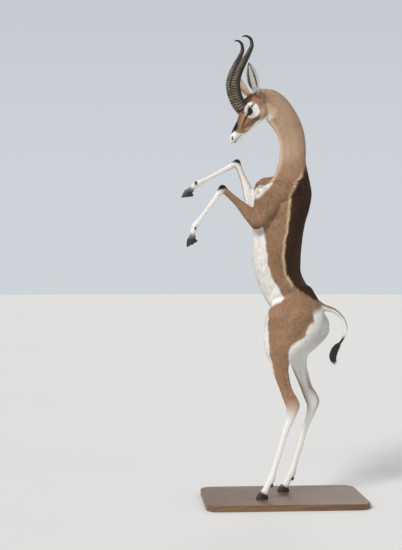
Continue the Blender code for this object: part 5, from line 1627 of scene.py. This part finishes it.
def makeLids(side, mark, material):
    shape = bmesh.new()
    count, sides, lashes = eyeSizes["lidPoints"], eyeSizes["lidSides"], eyeSizes["lashes"]
    centre = Vector((eyePlace[0], side * eyePlace[1], eyePlace[2]))
    rings = []
    for k in range(count):
        before, (point, up), after = (rimPoint(side, k + step, count, 1.03, 0.0008) for step in (-1, 0, 1))
        out = (point - centre).normalized()
        broad = (after[0] - before[0]).normalized().cross(out)
        size = eyeSizes["lid"] + (eyeSizes["upperLid"] - eyeSizes["lid"]) * max(up, 0.0)
        ring = []
        for j in range(sides):
            b = 2 * math.pi * j / sides
            edge = point + out * (size * 0.8 * math.cos(b)) + broad * (size * math.sin(b))
            ring.append(shape.verts.new(headPlace @ edge))
        rings.append(ring)
    for one, other in zip(rings, rings[1:] + rings[:1]):
        for j in range(sides):
            i = (j + 1) % sides
            shape.faces.new((one[j], one[i], other[i], other[j]))
    for k in range(lashes):  # along the upper lid
        point, _ = rimPoint(side, k + 1.5, (lashes + 3) * 2, 1.05, 0.0014)
        out = (point - centre).normalized()
        way = (out + Vector((0.10, 0, 0.25)) + Vector((0.5 * (k / lashes - 0.5), 0, 0))).normalized()
        aside = way.cross(out).normalized()
        deep = aside.cross(way)
        rings = []
        for share in (0.0, 0.4, 0.75, 1.0):
            middle = point + way * (eyeSizes["lashLength"] * share)
            middle += Vector((0, 0, -eyeSizes["lashDroop"] * share * share))
            thick = eyeSizes["lashThick"] * (1.05 - share)
            corners = [(thick * math.cos(b), thick * math.sin(b)) for b in (0.0, 2.1, 4.2)]
            rings.append([headPlace @ (middle + aside * a + deep * b) for a, b in corners])
        addRings(shape, rings)
    finishPiece(meshObject("lids." + mark, shape), "eye_dark", material=material)


# Hooves and dewclaws
def makeClaw(name, foot, half, material):
    count, levels = footSizes["clawPoints"], footSizes["clawLevels"]
    top = Vector(footSizes["coronetPlace"])
    shape = bmesh.new()
    rings, heights = [], []
    for level in range(levels + 1):
        height = level / levels
        heel = footSizes["heel"] + 0.0050 * height - 0.0036 * math.sin(math.pi * min(height * 1.05, 1))
        toe = footSizes["toe"] + (footSizes["coronetFront"] - footSizes["toe"]) * height
        width = footSizes["clawWidth"] * (0.92 + 0.10 * math.sin(math.pi * min(height * 0.75 + 0.2, 1)))
        tuck = 0.0016 * max(0.0, 1 - height / 0.06) + 0.0012 * max(0.0, (height - 0.93) / 0.07)
        swell = footSizes["growth"] * math.sin(height * 58) * min(1, height * 6)
        ring = []
        for k in range(count):
            a = 2 * math.pi * k / count
            share = (1 + math.cos(a)) / 2
            x = heel + tuck + (toe - heel - 2 * tuck) * share + swell * math.cos(a)
            fuller = 1 + 0.10 * math.sin(math.pi * (1 - share))
            bulge = math.sin(a) * width / 2 * (1 - 0.60 * share**2.4) * fuller
            side = bulge - tuck + swell if bulge > 0 else bulge * 0.92
            y = half * (footSizes["cleft"] / 2 + width / 2 + side)
            y += half * 0.0018 * share * (1 - height)
            rise = top.z + (x - top.x) * math.tan(math.radians(footSizes["coronetSlope"])) + 0.0012
            # the sole is a little hollow
            arch = 0.0010 * math.sin(math.pi * min(share * 1.1, 1)) * (1 - height)
            ring.append(foot @ Vector((x, y, height * rise + arch * (bulge < 0))))
            heights.append(height)
        rings.append(ring)
    addRings(shape, rings)
    claw = meshObject(name.replace("_", "."), shape)
    storeField(claw.data, "level", heights + [0.0, 1.0])
    finishPiece(claw, "hoof_black", name, material=material)
    claw.data.set_sharp_from_angle(angle=math.radians(50))


def makeDewclaw(name, foot, half, material):
    place = Vector(footSizes["hindDewclaw"] if name.startswith("hind") else footSizes["foreDewclaw"])
    place.y *= half
    lean = Matrix.Rotation(math.radians(-24), 4, "Y") @ Matrix.Rotation(math.radians(7 * half), 4, "X")
    deep, wide, length = footSizes["dewclaw"]
    count, levels, tip = 24, 18, 0.35
    shape = bmesh.new()
    rings, fields = [], []
    for level in range(levels):  # a blunt cone hanging from the back of the fetlock
        share = (level + 0.5) / levels
        if share < tip:
            reach = math.sqrt(1 - (1 - share / tip) ** 2)
        else:
            reach = 1 - ((share - tip) / (1 - tip)) ** 1.7
        reach *= 1 + 0.02 * math.sin(26 * share)
        hook = 0.0030 * share * share
        ring = []
        for k in range(count):
            a = 2 * math.pi * k / count
            point = (deep * reach * math.cos(a) - hook, wide * reach * math.sin(a), 0.0105 - length * share)
            ring.append(foot @ Matrix.Translation(place) @ lean @ Vector(point))
        rings.append(ring)
        fields.extend([1 - share] * count)
    addRings(shape, rings)
    dewclaw = meshObject(name.replace("_", "."), shape)
    storeField(dewclaw.data, "level", fields + [1.0, 0.0])
    finishPiece(dewclaw, "hoof_black", name, material=material)


# The black tuft at the tail's end: tapered locks in tiers along its bent axis
tuftSizes = {
    "axis": [(0.293, 0.765), (0.262, 0.722), (0.252, 0.694), (0.256, 0.668), (0.266, 0.650)],
    "length": 0.125,
    "width": 0.040,
    "locks": 950,
    "lockLength": (0.20, 0.46),
    "lockWidth": (0.0018, 0.0038),
    "lockThick": 0.0010,
    "seed": 7,
}


goldenAngle = 2.39996  # spreads the locks evenly round the axis


def makeTuft(material):
    rows = [(x, 0.0, z, x, 0.0, z, 0.0, 0.0) for x, z in tuftSizes["axis"]]
    centres = smoothRows(rows, 0.001)[:, 0:3]
    ways = unit(np.gradient(centres, axis=0))

    def around(share, turn):  # a place on the axis, the way it runs, a direction square to it
        index = min(int(min(share, 1.0) * (len(centres) - 1)), len(centres) - 1)
        centre, way = Vector(centres[index]), Vector(ways[index])
        side = Vector((0, 1, 0))
        out = side * math.sin(turn) + way.cross(side) * math.cos(turn)
        if share > 1.0:
            centre = centre + way * (share - 1.0) * tuftSizes["length"]
        return centre, way, out

    def reachAt(share):
        bulge = max(math.sin(math.pi * min(share * 0.93 + 0.02, 1.0)), 0.0) ** 0.8
        return tuftSizes["width"] / 2 * (0.34 + 0.66 * bulge)

    draw = random.Random(tuftSizes["seed"])
    shape = bmesh.new()
    tips, tones = [], []
    for lock in range(tuftSizes["locks"]):
        start = -0.02 + 0.66 * (lock / tuftSizes["locks"]) ** 0.9
        length = draw.uniform(*tuftSizes["lockLength"]) * (1.1 - 0.3 * start)
        turn = lock * goldenAngle + draw.uniform(-0.2, 0.2)
        lift, drift, tone = draw.uniform(0.30, 1.0), draw.uniform(-0.6, 0.6), draw.random()
        width = draw.uniform(*tuftSizes["lockWidth"])
        rings = []
        for step, (wide, thick) in enumerate(((0.6, 0.9), (1.0, 1.0), (0.9, 0.9), (0.55, 0.6), (0.05, 0.1))):
            share = start + length * step / 4
            centre, way, out = around(max(share, 0.0), turn + drift * step / 4)
            reach = reachAt(min(share, 1.0)) * lift * min(step / 4 * 2.2 + 0.15, 1.0)
            middle = centre + out * reach
            half, deep = way.cross(out) * width * wide / 2, out * tuftSizes["lockThick"] * thick / 2
            rings.append([middle - half, middle - deep, middle + half, middle + deep])
            tips.extend([step / 4] * 4)
        tips.extend([0.0, 1.0])
        tones.extend([tone] * 22)
        addRings(shape, rings)
    tuft = meshObject("tailTuft", shape)
    storeField(tuft.data, "tip", tips)
    storeField(tuft.data, "tone", tones)
    finishPiece(tuft, "tuft_black", "tail_tuft", material=material)


# The base
baseSizes = {"corner": 0.060, "edge": 0.006, "chamfer": 0.0015, "turns": 18}


def makeBase(material):
    low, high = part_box("stand_base")
    shape = bmesh.new()
    outline = []
    for corner, (sx, sy) in enumerate(((1, 1), (-1, 1), (-1, -1), (1, -1))):
        centre = Vector((sx * (high.x - baseSizes["corner"]), sy * (high.y - baseSizes["corner"]), 0))
        for k in range(baseSizes["turns"] + 1):
            a = math.pi / 2 * (corner + k / baseSizes["turns"])
            outline.append((centre, Vector((math.cos(a), math.sin(a), 0))))
    edge = baseSizes["edge"]
    levels = [(low.z, baseSizes["chamfer"]), (low.z + baseSizes["chamfer"], 0.0), (high.z - edge, 0.0)]
    for k in range(1, 7):
        a = math.pi / 12 * k
        levels.append((high.z - edge + edge * math.sin(a), edge * (1 - math.cos(a))))
    rings = []
    for height, inset in levels:
        reach, rise = baseSizes["corner"] - inset, Vector((0, 0, height - soleHeight))
        rings.append([centre + way * reach + rise for centre, way in outline])
    addRings(shape, rings)
    base = meshObject("standBase", shape)
    finishPiece(base, "base_wood", "stand_base", material=material)
    base.data.set_sharp_from_angle(angle=math.radians(35))


# Camera at the picture's viewpoint, pale floor, soft studio light
view = {"place": (-0.80, -5.558, 1.13), "way": (0.0698, 0.9976, 0.0), "lens": 73.3}
studio = {
    "key": {"way": (0.55, 0.66, -0.70), "angle": 18, "power": 2.5, "colour": (1.0, 0.965, 0.92)},
    "fill": {"way": (-0.85, 0.50, -0.35), "angle": 40, "power": 0.30, "colour": (0.92, 0.96, 1.0)},
    "back": {"way": (-0.30, -0.80, -0.60), "angle": 25, "power": 0.45, "colour": (1.0, 0.98, 0.95)},
    "horizon": (0.80, 0.84, 0.89),
    "zenith": (0.42, 0.45, 0.50),
    "sky": 0.78,
    "floor": 60.0,
}


def makeStudio(material):
    scene = bpy.context.scene
    scene.view_settings.view_transform = "Standard"
    camera = bpy.data.objects.new("camera", bpy.data.cameras.new("camera"))
    scene.collection.objects.link(camera)
    camera.location = view["place"]
    camera.rotation_euler = Vector(view["way"]).to_track_quat("-Z", "Y").to_euler()
    camera.data.sensor_width = 36
    camera.data.lens = view["lens"]
    scene.camera = camera
    for name in ("key", "fill", "back"):
        made = studio[name]
        light = bpy.data.lights.new(name, "SUN")
        light.angle, light.energy, light.color = math.radians(made["angle"]), made["power"], made["colour"]
        lamp = bpy.data.objects.new(name, light)
        lamp.rotation_euler = Vector(made["way"]).to_track_quat("-Z", "Y").to_euler()
        scene.collection.objects.link(lamp)
    world = bpy.data.worlds.new("studio")
    world.use_nodes = True
    maker = Maker(world.node_tree)
    around = maker.wire("ShaderNodeTexCoord", output="Generated")
    way = maker.node("ShaderNodeSeparateXYZ", Vector=around)
    high = maker.out(way, "Z").ease(0.02, 0.75)  # paler towards the horizon
    backdrop = world.node_tree.nodes["Background"]
    maker.put(backdrop, "Color", maker.mix(high, studio["horizon"], studio["zenith"]))
    maker.put(backdrop, "Strength", studio["sky"])
    scene.world = world
    shape = bmesh.new()
    bmesh.ops.create_circle(shape, cap_ends=True, segments=96, radius=studio["floor"])
    floor = meshObject("floor", shape)
    floor.data.materials.append(material)


# Everything in order
makeStudio(floorMaterial())
makeBase(woodMaterial())
print("base and studio done")

skin = makeSkin()
points, normals = coordinates(skin.data), vertexNormals(skin.data)
where = placeOnBody(points)
marks = markSkin(points, normals, where)
hair, lie = hairOf(points, where, marks)
for name in skinFields:
    storeField(skin.data, name, marks[name])
for name, values in (("lie", lie), ("ground", normals)):
    storeField(skin.data, name, values, "FLOAT_VECTOR")
for name, values in hair.items():
    storeField(skin.data, name, values)
spots = mapSkin(skin.data, where, toHead(points), marks["inside"])
storeField(skin.data, "coatMap", spots, "FLOAT2", "CORNER")
number, pieceCount = shareOut(skin.data, hair["density"])
storeField(skin.data, "piece", number, "INT", "FACE")
print("markings done,", pieceCount, "coat pieces")

hairFinish = hairMaterial()
tree = coatTree()
growing = ("lie", "hair", "lift", "density", "piece")  # fields that only the growing of the coat needs
for k in range(pieceCount):
    values = {"Piece": k, "Seed": coatSizes["seed"] + k, "Material": hairFinish}
    coat = grown(f"coat.{k}", skin.data, tree, values)
    dropFields(coat.data, (*growing, "coatMap", "patch"))
    finishPiece(coat, "coat_fawn")
    coat.data.calc_loop_triangles()
    print(coat.name, len(coat.data.loop_triangles), "triangles")
dropFields(skin.data, (*growing, "ground"))
skin.data.materials.clear()
skin.data.polygons.foreach_set("material_index", np.zeros(len(skin.data.polygons), int))
finishPiece(skin, "coat_fawn", *fleshNodes, material=skinMaterial())

makeHorns(hornMaterial())
eyeFinish, lidFinish, hoofFinish = eyeMaterial(), lidMaterial(), hoofMaterial()
for side, mark in ((1, "l"), (-1, "r")):
    makeEye(side, mark, eyeFinish)
    makeLids(side, mark, lidFinish)
for (place, mark), foot in footMatrices().items():
    for half, which in ((1, "inner"), (-1, "outer")):
        turned = -half if mark == "l" else half
        makeClaw(f"{place}_claw_{mark}_{which}", foot, turned, hoofFinish)
        makeDewclaw(f"{place}_dewclaw_{mark}_{which}", foot, turned, hoofFinish)
makeTuft(tuftMaterial())
print("horns, eyes, hooves and tuft done")
